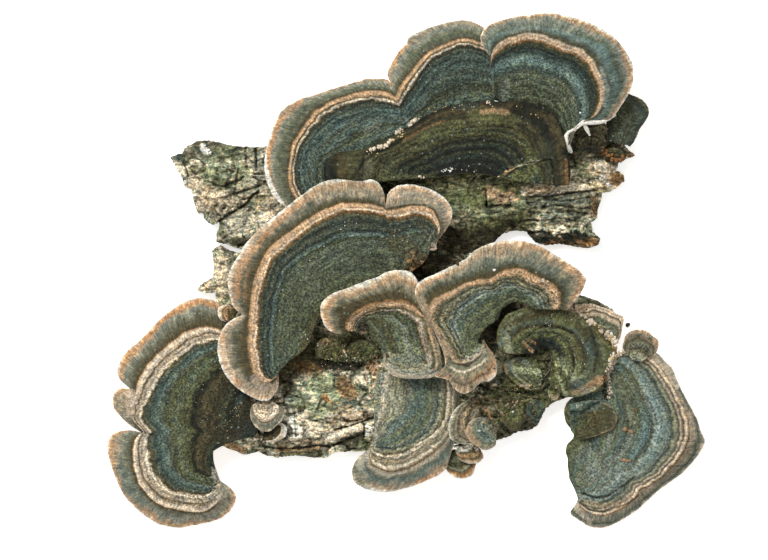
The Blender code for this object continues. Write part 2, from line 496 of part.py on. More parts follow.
def add_bark(name, outline, lumps, material, pile):
    """A slab of bark: a rough top over its outline, upright broken edges and a flat back on the table."""
    left, right = min(x for x, y in outline), max(x for x, y in outline)
    top, bottom = min(y for x, y in outline), max(y for x, y in outline)
    inner = []
    across_count = int((right - left) / BARK_SPACING)
    for column in range(across_count + 1):
        for line in range(int((bottom - top) / BARK_SPACING) + 1):
            x = left + (column + 0.5 * (line % 2)) * BARK_SPACING
            y = top + line * BARK_SPACING
            inner.append(Vector((x, y)))
    count = len(outline)
    corners = [Vector(point) for point in outline]
    edges = [(index, (index + 1) % count) for index in range(count)]
    grid = [point for point in inner if edge_distance(point.x, point.y, outline) > 0.45 * BARK_SPACING]
    flat = geometry.delaunay_2d_cdt(corners + grid, edges, [], 1, 1e-4)
    points = [place(x, y, bark_height(x, y, outline, lumps)) for x, y in flat[0]]
    faces = [tuple(face) for face in flat[2]]
    rim = [flat[3].index([index]) if [index] in flat[3] else index for index in range(count)]
    foot = len(points)
    points += [place(x, y) for x, y in outline]
    faces.append(tuple(range(foot, foot + count)))
    for index in range(count):
        after = (index + 1) % count
        faces.append((rim[index], rim[after], foot + after, foot + index))
    mesh = bpy.data.meshes.new(name)
    mesh.from_pydata(points, [], faces)
    piece = add_object(name, mesh, material)
    pile.add(piece)
    return piece


def build():
    """Lays the pieces down from the table up, so that each cap lies on those made before it."""
    for item in list(bpy.data.objects):
        bpy.data.objects.remove(item)
    bark = finish("bark", (0.27, 0.23, 0.17), 0.95)
    zoned = finish("zoned_cap", (0.20, 0.20, 0.16), 0.9)
    mossy = finish("mossy_cap", (0.13, 0.13, 0.06), 0.95)
    pile = Pile()
    add_bark("bark_upper", UPPER_BARK, (), bark, pile)
    add_bark("bark_lower", LOWER_BARK, LOWER_BARK_LUMPS, bark, pile)

    add_small_cap("cap_leaf", LEAF_HEART, LEAF_RIM, (9.5, 9.5, 8.5), mossy, pile)
    add_small_cap("bracket_right", BRACKET_RIGHT_HEART, BRACKET_RIGHT_RIM, (6.6, 7.4, 6.8), mossy, pile)
    add_small_cap("bracket_left", BRACKET_LEFT_HEART, BRACKET_LEFT_RIM, (9, 9.6, 9), mossy, pile)
    add_cap("cap_top_left", TOP_LEFT_ROWS, TOP_LEFT_HEIGHTS, 36, zoned, pile)
    add_cap("cap_top_right", TOP_RIGHT_ROWS, TOP_RIGHT_HEIGHTS, 30, zoned, pile)
    add_cap("old_cap_upper", OLD_UPPER_ROWS, OLD_UPPER_HEIGHTS, 24, mossy, pile)

    add_small_cap("cap_small_left_back", SMALL_LEFT_BACK_HEART, SMALL_LEFT_BACK_RIM, (8, 8.4, 8), zoned, pile)
    add_cap("cap_lower_left", LOWER_LEFT_ROWS, LOWER_LEFT_HEIGHTS, 46, zoned, pile)
    add_small_cap("cap_small_left", SMALL_LEFT_HEART, SMALL_LEFT_RIM, (9, 9.4, 8.8), zoned, pile)
    add_small_cap("cap_left_bit", LEFT_BIT_HEART, LEFT_BIT_RIM, (9, 9.4, 8.8), zoned, pile)

    add_small_cap("cap_bottom_lobe", BOTTOM_LOBE_HEART, BOTTOM_LOBE_RIM, (6.6, 6.2, 5.4), zoned, pile)
    add_cap("cap_bottom", BOTTOM_ROWS, BOTTOM_HEIGHTS, 26, zoned, pile)
    add_small_cap("cap_bottom_chip", BOTTOM_CHIP_HEART, BOTTOM_CHIP_RIM, (8.2, 8.2, 7.2), zoned, pile)
    add_small_cap("cap_bottom_side", BOTTOM_SIDE_HEART, BOTTOM_SIDE_RIM, (8, 8.8, 8.4), zoned, pile)
    add_small_cap("cap_bottom_front", BOTTOM_FRONT_HEART, BOTTOM_FRONT_RIM, (9, 9.4, 8.6), zoned, pile)

    add_cap("cap_right", RIGHT_ROWS, RIGHT_HEIGHTS, 34, zoned, pile)
    add_small_cap("cap_right_top", RIGHT_TOP_HEART, RIGHT_TOP_RIM, (9.4, 9.6, 8.6), zoned, pile)
    add_small_cap("cap_right_hump", RIGHT_HUMP_HEART, RIGHT_HUMP_RIM, (9, 9.4, 9), mossy, pile)
    add_small_cap("cap_back_right", BACK_RIGHT_HEART, BACK_RIGHT_RIM, (9, 9.8, 9.2), zoned, pile)
    add_small_cap("rot_cap_brown", ROT_BROWN_HEART, ROT_BROWN_RIM, (7, 7.4, 6.8), mossy, pile)
    add_small_cap("rot_cap_dark", ROT_DARK_HEART, ROT_DARK_RIM, (7, 7.2, 6.6), mossy, pile)
    add_small_cap("rot_cap_bud", ROT_BUD_HEART, ROT_BUD_RIM, (7, 7.4, 6.8), mossy, pile)
    add_small_cap("rot_cap_upper", ROT_UPPER_HEART, ROT_UPPER_RIM, (8, 8.4, 7.8), mossy, pile)
    add_cap("old_cap_right", OLD_RIGHT_ROWS, OLD_RIGHT_HEIGHTS, 24, mossy, pile)
    add_small_cap("cap_mossy_lobe", MOSSY_LOBE_HEART, MOSSY_LOBE_RIM, (8, 9, 8.4), mossy, pile)

    add_cap("cap_centre", CENTRE_ROWS, CENTRE_HEIGHTS, 50, zoned, pile)
    add_cap("cap_curl_left", CURL_LEFT_ROWS, CURL_LEFT_HEIGHTS, 34, zoned, pile)
    add_cap("cap_curl_right", CURL_RIGHT_ROWS, CURL_RIGHT_HEIGHTS, 42, zoned, pile)


build()
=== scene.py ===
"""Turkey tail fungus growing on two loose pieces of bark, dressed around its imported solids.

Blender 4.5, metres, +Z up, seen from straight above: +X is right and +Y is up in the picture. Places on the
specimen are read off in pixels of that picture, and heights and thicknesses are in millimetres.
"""

import json
from types import SimpleNamespace

import bmesh
import bpy
import numpy as np
from mathutils import Euler, Matrix, Vector, geometry, noise
from mathutils.bvhtree import BVHTree

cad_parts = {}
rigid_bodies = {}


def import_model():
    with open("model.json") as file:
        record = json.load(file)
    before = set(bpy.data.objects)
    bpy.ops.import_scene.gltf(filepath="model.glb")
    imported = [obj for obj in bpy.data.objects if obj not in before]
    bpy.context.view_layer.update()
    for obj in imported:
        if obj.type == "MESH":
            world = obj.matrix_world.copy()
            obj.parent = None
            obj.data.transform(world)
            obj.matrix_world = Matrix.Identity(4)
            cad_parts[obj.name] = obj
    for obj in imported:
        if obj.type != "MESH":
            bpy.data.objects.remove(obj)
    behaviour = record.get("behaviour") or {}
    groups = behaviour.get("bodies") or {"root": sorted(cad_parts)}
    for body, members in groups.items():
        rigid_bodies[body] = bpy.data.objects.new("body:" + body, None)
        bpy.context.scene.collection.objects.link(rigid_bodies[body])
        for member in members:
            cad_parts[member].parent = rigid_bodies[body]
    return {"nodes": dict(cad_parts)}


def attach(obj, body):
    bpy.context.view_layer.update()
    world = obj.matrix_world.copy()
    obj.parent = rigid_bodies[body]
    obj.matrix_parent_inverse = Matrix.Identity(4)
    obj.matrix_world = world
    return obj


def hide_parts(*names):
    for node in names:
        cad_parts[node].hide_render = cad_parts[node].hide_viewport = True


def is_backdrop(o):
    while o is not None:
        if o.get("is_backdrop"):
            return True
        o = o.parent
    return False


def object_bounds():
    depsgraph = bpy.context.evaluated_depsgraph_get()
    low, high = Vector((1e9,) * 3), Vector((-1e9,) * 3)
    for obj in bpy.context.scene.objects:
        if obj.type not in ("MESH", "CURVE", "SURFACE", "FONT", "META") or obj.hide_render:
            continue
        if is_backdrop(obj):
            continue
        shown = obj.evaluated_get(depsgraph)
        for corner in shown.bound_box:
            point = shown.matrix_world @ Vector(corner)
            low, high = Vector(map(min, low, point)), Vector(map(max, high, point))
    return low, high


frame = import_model()
cad_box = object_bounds()

# The table, the daylight and the camera
# The specimen lies on a plain white table top under soft daylight that comes mostly from the upper left.
# The camera looks straight down through a long lens, as the picture does.
SPECIMEN_WIDTH = 0.180
PIXEL = SPECIMEN_WIDTH / 599.5
MIDDLE = (406.1, 271.16)
MM = 0.001
PICTURE_CENTRE, PICTURE_WIDTH = (384, 280), 768
SHARP_HEIGHT = 12 * MM
SENSOR, LENS = 36.0, 350.0
TABLE_SIDE = 6.0
TABLE_WHITE, TABLE_GLOW = (0.92, 0.92, 0.92, 1.0), 0.6
TABLE_ROUGHNESS, TABLE_SHINE = 0.9, 0.1
WINDOW_PLACE, WINDOW_SIDE, WINDOW_POWER = (-0.42, 0.55, 0.85), 0.5, 12.5
WINDOW_COLOUR = (1.0, 0.985, 0.95)
SKY_COLOUR, SKY_STRENGTH = (1.0, 1.0, 0.98, 1.0), 0.55


def place(x, y, height=0.0):
    """A pixel of the picture and a height in millimetres, as metres from the specimen's origin."""
    return Vector(((x - MIDDLE[0]) * PIXEL, (MIDDLE[1] - y) * PIXEL, height * MM))


def add_piece(name, points, faces, materials):
    """A mesh as an object in the scene, shaded smooth."""
    mesh = bpy.data.meshes.new(name)
    mesh.from_pydata(points, [], faces)
    for material in materials:
        mesh.materials.append(material)
    mesh.shade_smooth()
    piece = bpy.data.objects.new(name, mesh)
    bpy.context.scene.collection.objects.link(piece)
    return piece


def plain_white():
    material = bpy.data.materials.new("table_white")
    material.use_nodes = True
    shader = material.node_tree.nodes["Principled BSDF"]
    shader.inputs["Base Color"].default_value = TABLE_WHITE
    shader.inputs["Roughness"].default_value = TABLE_ROUGHNESS
    shader.inputs["Specular IOR Level"].default_value = TABLE_SHINE
    shader.inputs["Emission Color"].default_value = (1.0, 1.0, 1.0, 1.0)
    shader.inputs["Emission Strength"].default_value = TABLE_GLOW
    return material


def set_the_table():
    half = TABLE_SIDE / 2
    corners = [(-half, -half, 0), (half, -half, 0), (half, half, 0), (-half, half, 0)]
    add_piece("table_top", corners, [(0, 1, 2, 3)], [plain_white()])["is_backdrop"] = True


def let_in_daylight():
    world = bpy.data.worlds.new("soft_sky")
    world.use_nodes = True
    world.node_tree.nodes["Background"].inputs["Color"].default_value = SKY_COLOUR
    world.node_tree.nodes["Background"].inputs["Strength"].default_value = SKY_STRENGTH
    bpy.context.scene.world = world
    window = bpy.data.lights.new("window", "AREA")
    window.shape = "SQUARE"
    window.size = WINDOW_SIDE
    window.energy = WINDOW_POWER
    window.color = WINDOW_COLOUR
    hung = bpy.data.objects.new("window", window)
    hung.location = WINDOW_PLACE
    hung.rotation_euler = (-Vector(WINDOW_PLACE)).to_track_quat("-Z", "Y").to_euler()
    bpy.context.scene.collection.objects.link(hung)


def set_up_camera():
    camera = bpy.data.objects.new("camera", bpy.data.cameras.new("camera"))
    camera.data.sensor_width = SENSOR
    camera.data.lens = LENS
    distance = LENS / SENSOR * PICTURE_WIDTH * PIXEL
    camera.location = place(*PICTURE_CENTRE) + Vector((0, 0, SHARP_HEIGHT + distance))
    bpy.context.scene.collection.objects.link(camera)
    bpy.context.scene.camera = camera


set_the_table()
let_in_daylight()
set_up_camera()
bpy.context.scene.view_settings.view_transform = "Standard"

# The two pieces of bark
# Loose slabs of dead bark with a flat back, cracked along and across the grain. They are crusted with pale
# lichen at the left, green with moss and algae under the caps, and broken at their edges. Painted shade
# darkens their pits and cracks and the bark under the caps' edges.
# Each colour is named and is what it looks like in daylight, 0 to 255. GLOW is how much brighter than plain
# white paper the table's light makes a white surface.
GLOW = 1.22
COLOURS = {
    "chalk": (248, 244, 234), "cream": (236, 218, 194), "peach": (216, 182, 148), "tan": (184, 148, 112),
    "copper": (200, 140, 88), "rust": (150, 108, 66), "fawn": (170, 150, 124), "stone": (154, 152, 126),
    "ash": (122, 120, 100), "smoke": (94, 93, 76), "umber": (80, 72, 48), "peat": (54, 48, 30),
    "pitch": (24, 27, 19), "ink": (40, 48, 42), "slate": (60, 74, 68), "steel": (94, 110, 102),
    "mist": (148, 160, 152), "sage": (90, 98, 78), "olive": (82, 84, 56), "moss": (104, 107, 68),
    "bark": (193, 184, 165), "lichen": (160, 166, 132), "blush": (206, 184, 158), "gold": (228, 198, 138),
    "taupe": (150, 139, 120), "bog": (60, 64, 46), "dusk": (80, 86, 72), "haze": (126, 132, 120),
    "shell": (198, 178, 156), "rain": (110, 131, 127), "fern": (106, 112, 84),
}
UPPER_BARK = (
    (170, 157), (177, 154), (182, 153), (184, 148), (190, 144), (197, 141), (207, 140), (219, 142),
    (229, 145), (243, 146), (256, 147), (268, 146), (300, 139), (340, 132), (385, 125), (430, 117),
    (470, 110), (510, 107), (550, 108), (580, 113), (603, 121), (618, 132), (624, 144), (630, 150),
    (636, 155), (628, 158), (619, 162), (617, 170), (624, 174), (625, 180), (618, 186), (611, 191),
    (603, 192), (601, 201), (598, 209), (598, 217), (592, 222), (593, 232), (601, 238), (599, 244),
    (589, 248), (575, 246), (560, 243), (547, 245), (536, 242), (531, 236), (527, 231), (515, 230),
    (503, 233), (496, 240), (486, 249), (465, 254), (430, 255.5), (380, 255.5), (330, 255.5), (290, 255),
    (262, 253.5), (246, 250), (233, 247), (226, 243.5), (216, 242), (216, 234), (219, 227), (219, 221),
    (212, 224.5), (204, 219), (203, 213), (197, 213), (193, 200), (191, 188), (184, 186), (181, 176),
    (176, 167),
)
LOWER_BARK = (
    (216, 246.5), (221, 245.5), (228, 250), (236, 253), (250, 255), (290, 256), (340, 256), (390, 256),
    (430, 255), (466, 253), (490, 262), (520, 275), (548, 287), (570, 292), (583, 296), (598, 301),
    (614, 310), (612, 325), (616, 340), (617, 352), (612, 366), (606, 378), (602, 388), (590, 393),
    (575, 395), (563, 399), (553, 403), (546, 409), (542, 417), (538, 425), (531, 430), (518, 432),
    (508, 437), (497, 441), (480, 442), (455, 444), (430, 447), (400, 449), (372, 451), (350, 452),
    (338, 452), (331, 454), (326, 458), (313, 458), (300, 456), (288, 456), (277, 458), (267, 456),
    (258, 452), (244, 455), (236, 452), (228, 449), (222, 446), (220, 441), (224, 425), (228, 390),
    (226, 360), (224, 335), (221, 315), (217, 309), (216, 300), (214.5, 292.5), (205, 292.5), (196.5, 290),
    (200, 285), (207, 281), (213, 277), (213.5, 268), (212.5, 257), (211.5, 251),
)
# A lump is its place, its radius and its height. The bark is thinner at its broken edge, and BARK_SHOULDER
# is how far in it reaches its full height.
LOWER_LUMPS = ((345, 352, 22, 1.4), (425, 262, 14, 1.2), (300, 385, 16, 1.0))
BARK_EDGE, BARK_MIDDLE, BARK_SHOULDER = 4.2, 7.8, 26.0
# The noise along the grain: how high it is, then how long and how wide.
GRAINS = ((1.1, 60.0, 11.0), (0.5, 17.0, 9.0))
# The rubble on top of that, in the same order.
RUBBLE = ((0.4, 9.0, 3.4), (0.35, 4.2, 2.2), (0.25, 1.9, 1.3))
# The crust is cracked into plates: how far the plates stand out, then how long and how wide they are.
PLATES = ((0.45, 19.0, 12.0), (0.25, 7.0, 4.2))
# How far apart the points of the bark are, how much closer their rows, and how far they keep from the edge.
BARK_STEP, ROW_GAP, CLEAR_OF_EDGE = 1.1, 0.87, 0.55
# Cracks between the plates: how far they bend and how steep they are.
CRACK_BEND, CRACK_STEEPNESS = 0.3, 5.5
# Splinters along the broken edge: how deep and how long they are and how far they lie back. The edge goes
# down to the table in EDGE_LEVELS steps.
CHIP_DEPTH, CHIP_LENGTH, CHIP_BACK = 0.9, 2.3, 0.3
EDGE_LEVELS, EDGE_ROUGHNESS = 6, 0.5
# How many lumps of noise there are in a metre of the crust, and its colours from the lowest to the highest.
CRUST_SCALE, HUE_SCALE, GRIT_SCALE, SPECK_SCALE, FIBRE_SCALE = 230.0, 620.0, 1600.0, 1150.0, 1300.0
ALONG_THE_GRAIN = (0.3, 1.0, 1.0)
CRUST_COLOURS = (
    (0.36, "umber"), (0.42, "sage"), (0.46, "lichen"), (0.5, "bark"), (0.56, "cream"), (0.66, "chalk"),
)
BARK_GRAIN = 0.4 * MM
# Folds wander off their course. A mark's edge is ragged: how far, how long its rags are, and a seed.
WANDER, WANDER_LENGTH = 0.8, 4
MARK_EDGE = ((0.5, 7, 3.0), (0.4, 2.6, 5.0))
WIDE_MARK, MARK_BLUR = 7, 0.4
# A fold is how high it stands and how wide it is, then its course. Below 0 it is a crack.
UPPER_FOLDS = (
    (-1.5, 1.0, (219, 221), (226, 216), (232, 212), (240, 208), (247, 203), (252, 195), (258, 192)),
    (-1.2, 1.1, (237, 193), (247, 190), (256, 187), (267, 181)),
    (-1.2, 1.0, (255, 148), (256, 158), (256, 170)), (-0.9, 1.0, (255, 174), (265, 173)),
    (-1.0, 1.0, (225, 186), (233, 182), (240, 180), (243, 176)),
    (-0.9, 0.9, (182, 160), (186, 170), (188, 176)), (-1.0, 1.2, (238, 246), (252, 240), (262, 235)),
    (-1.2, 0.9, (552, 196), (570, 193), (597, 190)), (0.5, 2.2, (528, 191), (560, 189), (600, 186)),
    (-1.5, 0.8, (486, 190), (487, 206)), (-1.0, 0.8, (487, 207), (500, 205), (512, 206)),
    (-1.2, 0.9, (527, 197), (540, 196), (549, 198)),
    (-1.2, 1.0, (520, 236), (527, 233), (540, 232), (552, 233)),
    (-0.9, 0.9, (544, 207), (556, 205), (572, 207)),
    (-0.7, 0.8, (528, 203), (545, 199), (566, 201), (590, 197)),
    (-0.7, 0.8, (530, 212), (548, 213), (570, 211), (590, 214)),
    (-0.7, 0.8, (528, 220), (544, 221), (560, 218), (585, 222)),
    (-0.6, 0.7, (535, 226), (556, 226), (580, 227)), (-0.8, 0.9, (238, 168), (236, 180), (234, 194)),
    (-0.8, 0.9, (245, 148), (246, 168)),
)
LOWER_FOLDS = (
    (-1.4, 0.8, (335, 430), (348, 427), (362, 422), (374, 418)), (-1.2, 0.8, (364, 424), (364, 437)),
    (0.6, 1.0, (297, 413), (299, 426), (301, 439)),
    (-1.2, 1.0, (262, 447), (280, 449), (300, 449), (318, 446), (330, 447)),
    (-0.8, 0.8, (315, 421), (322, 420), (331, 424)), (0.9, 2.6, (328, 440), (345, 433), (361, 428)),
    (-1.1, 0.9, (333, 446), (348, 440), (363, 434)), (-0.7, 0.8, (294, 414), (296, 438)),
    (0.8, 1.6, (484, 410), (492, 418)), (-0.9, 1.0, (478, 384), (490, 390)),
    (-0.8, 1.0, (496, 388), (508, 392), (524, 393)),
)
# A mark is its colour, how strong and how wide it is, then its place or its course.
UPPER_MARKS = (
    # The umber band along the lower edge is painted shade where the edge slopes away from the light.
    ("olive", 0.75, 22, (290, 165), (400, 215)), ("umber", 0.8, 14, (404, 236), (470, 240), (520, 226)),
    ("moss", 0.8, 20, (400, 192), (470, 190), (520, 180)), ("peat", 0.8, 30, (560, 130), (600, 140)),
    # The peat band at the lower edge is a painted shadow on the bark's side.
    ("peat", 0.8, 10, (455, 238), (500, 234)), ("fern", 0.6, 8, (440, 196), (480, 200), (520, 200)),
    ("tan", 0.8, 4, (490, 193), (500, 198), (512, 190)),
    ("smoke", 0.7, 10, (184, 152), (205, 146), (226, 152)), ("peat", 0.45, 8, (188, 150), (214, 146)),
    ("slate", 0.7, 5, (173, 157), (180, 158)), ("chalk", 0.95, 3.2, (203, 147), (206, 152)),
    ("bark", 0.9, 9, (258, 152), (262, 165), (258, 178)), ("blush", 0.8, 12, (206, 200), (222, 192)),
    ("bark", 0.9, 10, (225, 228), (240, 220)), ("blush", 0.75, 9, (262, 200), (275, 212)),
    ("moss", 0.7, 7, (218, 178), (224, 184)), ("cream", 0.7, 4, (198, 180), (200, 190)),
    ("moss", 0.6, 6, (200, 170), (190, 172)), ("umber", 0.7, 5, (235, 240), (250, 243)),
    ("lichen", 0.7, 8, (232, 168), (244, 172)), ("moss", 0.7, 4, (220, 232), (219, 226)),
    ("moss", 0.7, 11, (440, 204), (490, 214), (525, 214)),
    ("olive", 0.6, 7, (430, 218), (480, 224), (520, 224)), ("lichen", 0.7, 4, (455, 206), (466, 208)),
    ("lichen", 0.7, 4, (484, 212), (500, 212)), ("fern", 0.7, 5, (520, 206), (540, 210)),
    ("ash", 0.8, 10, (535, 205), (575, 200), (592, 204)), ("ash", 0.75, 8, (550, 220), (580, 214)),
    ("haze", 0.6, 3, (540, 203), (570, 201), (592, 200)), ("haze", 0.6, 3, (545, 215), (580, 212)),
    ("cream", 0.95, 5, (526, 191), (545, 189), (560, 190)),
    ("cream", 0.95, 4.5, (560, 189), (580, 187), (600, 186)), ("peach", 0.7, 3.5, (530, 192), (548, 189)),
    ("moss", 0.7, 7, (578, 166), (590, 172), (600, 176)), ("olive", 0.6, 4, (575, 178), (590, 181)),
    ("moss", 0.7, 7, (512, 190), (470, 196)), ("peach", 0.85, 6, (491, 192), (500, 198), (511, 197)),
    ("blush", 0.9, 7, (594, 168), (606, 172), (610, 182)), ("cream", 0.8, 4, (598, 164), (608, 162)),
    ("rust", 0.95, 7, (618, 178), (621, 182)), ("gold", 0.6, 4, (596, 186), (604, 190)),
    ("rust", 0.95, 4.5, (548, 242), (570, 240), (596, 243)),
    ("pitch", 0.9, 5, (530, 234), (538, 240), (544, 236)),
    ("pitch", 0.85, 4, (567, 238), (578, 236), (586, 237)),
    ("rust", 0.8, 3, (594, 198), (596, 206), (594, 214)), ("rust", 0.8, 3, (628, 154), (634, 155)),
    ("olive", 0.8, 8, (606, 150), (616, 158)), ("fern", 0.6, 9, (212, 158), (232, 152), (250, 150)),
    ("fern", 0.6, 6, (204, 172), (214, 184), (232, 184)), ("blush", 0.6, 9, (215, 208), (240, 196)),
    ("haze", 0.5, 4, (222, 166), (228, 174)), ("haze", 0.5, 4, (258, 158), (262, 166)),
    ("sage", 0.55, 6, (232, 192), (246, 190)), ("lichen", 0.6, 6, (212, 168), (222, 172)),
    ("smoke", 0.6, 4, (220, 236), (236, 244)), ("moss", 0.5, 5, (250, 202), (262, 198)),
    ("blush", 0.7, 5, (195, 178), (192, 184)),
)
LOWER_MARKS = (
    ("peat", 0.9, 26, (420, 262), (480, 300), (500, 330)), ("pitch", 0.8, 20, (470, 285), (500, 315)),
    ("olive", 0.85, 24, (520, 370), (570, 350), (590, 320)), ("olive", 0.8, 24, (480, 420), (520, 410)),
    ("moss", 0.6, 12, (500, 395), (540, 400)), ("umber", 0.5, 6, (500, 435), (530, 425)),
    # The peat band is a painted shadow under the centre cap's edge over dark mossy bark, and the umber band
    # beside it is a painted brown shadow.
    ("peat", 0.9, 16, (300, 356), (330, 352), (360, 352)),
    ("umber", 0.9, 14, (286, 372), (300, 362), (318, 362)),
    ("pitch", 0.85, 6, (322, 364), (340, 366), (356, 366)), ("peat", 0.75, 9, (290, 392), (300, 402)),
    ("lichen", 0.9, 11, (318, 384), (330, 386)), ("copper", 0.8, 3, (324, 397), (330, 402)),
    ("rust", 0.8, 8, (343, 384), (349, 394)), ("tan", 0.75, 6, (371, 362), (374, 370)),
    ("mist", 0.85, 5, (288, 401), (296, 399)), ("slate", 0.75, 5, (344, 403), (354, 404)),
    ("lichen", 0.8, 9, (316, 412), (326, 410)), ("fawn", 0.85, 6, (334, 408), (346, 411)),
    ("blush", 0.95, 5, (330, 419), (350, 418), (368, 415)), ("bark", 0.8, 4, (290, 411), (296, 413)),
    ("cream", 0.95, 5, (304, 414), (306, 432)), ("cream", 0.85, 5, (316, 432), (330, 434)),
    ("cream", 0.95, 3.5, (330, 434), (345, 430), (358, 424)), ("chalk", 0.9, 3.5, (369, 426), (368, 434)),
    ("chalk", 0.8, 6, (290, 422), (294, 438)), ("fawn", 0.8, 5, (280, 444), (300, 444), (318, 442)),
    ("peat", 0.9, 6, (344, 442), (360, 436)), ("olive", 0.8, 5, (350, 448), (366, 446)),
    ("tan", 0.85, 3.5, (278, 450), (296, 452), (318, 448)),
    ("olive", 0.85, 3, (282, 455), (305, 454), (326, 453)), ("blush", 0.85, 6, (212, 262), (208, 286)),
    ("blush", 0.8, 7, (222, 262), (222, 290)), ("pitch", 0.8, 2.2, (222, 249), (232, 253)),
    ("tan", 0.9, 4, (221, 443), (240, 450)), ("moss", 0.7, 8, (560, 396), (540, 410)),
    ("cream", 0.7, 4, (600, 314), (610, 322)), ("fawn", 0.75, 2.5, (477, 400), (482, 408)),
    ("tan", 0.75, 2.5, (485, 410), (491, 417)), ("blush", 0.7, 2, (500, 398), (503, 410)),
    ("fawn", 0.5, 3, (484, 398), (496, 404)), ("peat", 0.7, 4, (478, 384), (490, 388)),
    ("lichen", 0.5, 10, (300, 400), (330, 402)), ("olive", 0.8, 10, (318, 345), (345, 336)),
    ("rust", 0.4, 6, (300, 366), (318, 372)), ("cream", 0.95, 3.2, (328, 440), (345, 433), (361, 428)),
    ("peat", 0.8, 1.2, (333, 446), (347, 441), (363, 435)), ("tan", 0.8, 2.5, (486, 411), (491, 417)),
    ("fawn", 0.8, 2, (478, 401), (481, 408)), ("fern", 0.6, 3, (530, 392), (548, 398)),
)


def tint(colour):
    """A named colour as a shader takes it."""
    return np.array([((value / 255 + 0.055) / 1.055) ** 2.4 / GLOW for value in COLOURS[colour]] + [1.0])


def node(tree, kind, inputs=(), **settings):
    """Adds a shader node. Each input is a socket and its value, or the output that it takes it from."""
    made = tree.nodes.new("ShaderNode" + kind)
    for setting, value in settings.items():
        setattr(made, setting, value)
    for socket, value in inputs:
        if isinstance(value, bpy.types.NodeSocket):
            tree.links.new(value, made.inputs[socket])
        else:
            made.inputs[socket].default_value = value
    return made


def maths(tree, operation, first, second):
    return node(tree, "Math", ((0, first), (1, second)), operation=operation).outputs[0]


def plus(tree, first, second):
    return maths(tree, "ADD", first, second)


def times(tree, first, second):
    return maths(tree, "MULTIPLY", first, second)


def cloud(tree, coordinates, scale, detail=3.0):
    """Noise from 0 to 1, in lumps one over `scale` across."""
    inputs = (("Vector", coordinates), ("Scale", scale), ("Detail", detail), ("Roughness", 0.6))
    return node(tree, "TexNoise", inputs).outputs["Fac"]


def stretched(tree, coordinates, scale):
    return node(tree, "VectorMath", ((0, coordinates), (1, scale)), operation="MULTIPLY").outputs[0]


def between(tree, value, low, high, to_low=0.0, to_high=1.0):
    """Takes a value from between `low` and `high` to between `to_low` and `to_high`."""
    ends = (("From Min", low), ("From Max", high), ("To Min", to_low), ("To Max", to_high))
    return node(tree, "MapRange", (("Value", value), *ends)).outputs["Result"]


def swing(tree, value, amount, reach=0.16):
    """A factor that follows noise from 1 less `amount` to 1 and `amount`."""
    part = between(tree, value, 0.5 - reach, 0.5 + reach, -1.0, 1.0)
    return plus(tree, 1.0, times(tree, amount, part))


def layer(tree, share, under, over, how="MIX"):
    """One colour laid over another."""
    mix = node(tree, "Mix", ((0, share), (6, under), (7, over)), data_type="RGBA", blend_type=how)
    return mix.outputs[2]


def lit(tree, colour, *factors):
    """A colour made lighter or darker by several factors."""
    for factor in factors:
        colour = node(tree, "VectorMath", ((0, colour), ("Scale", factor)), operation="SCALE").outputs[0]
    return colour


def tinged(tree, colour, value, amount):
    """A colour that turns warm and mossy where a noise is high, and cool where it is low."""
    warm = (1 + 0.14 * amount, 1 + 0.02 * amount, 1 - 0.26 * amount, 1.0)
    cool = (1 - 0.2 * amount, 1.0, 1 + 0.2 * amount, 1.0)
    return layer(tree, 1.0, colour, layer(tree, between(tree, value, 0.38, 0.62), cool, warm), "MULTIPLY")


def colour_ramp(tree, value, stops):
    """Named colours along a value from 0 to 1."""
    ramp = node(tree, "ValToRGB", (("Fac", value),))
    elements = ramp.color_ramp.elements
    while len(elements) < len(stops):
        elements.new(0.5)
    for element, (position, colour) in zip(elements, stops):
        element.position = position
        element.color = tint(colour)
    return ramp.outputs["Color"]


def painted(tree, name):
    """A value that `give` has stored in the mesh."""
    return node(tree, "Attribute", attribute_name=name)


def new_finish(name, sheen=0.0):
    """A dry, matt material to add nodes to, and its object coordinates."""
    material = bpy.data.materials.new(name)
    material.use_nodes = True
    tree = material.node_tree
    shader = tree.nodes["Principled BSDF"]
    shader.inputs["Specular IOR Level"].default_value = 0.25
    shader.inputs["Sheen Weight"].default_value = sheen
    shader.inputs["Sheen Roughness"].default_value = 0.5
    return material, tree, shader, node(tree, "TexCoord").outputs["Object"]


def raise_grain(tree, shader, height, depth):
    """Turns a height from 0 to 1 into bumps `depth` metres high."""
    bump = node(tree, "Bump", (("Height", height), ("Distance", depth), ("Strength", 1.0)))
    tree.links.new(bump.outputs["Normal"], shader.inputs["Normal"])


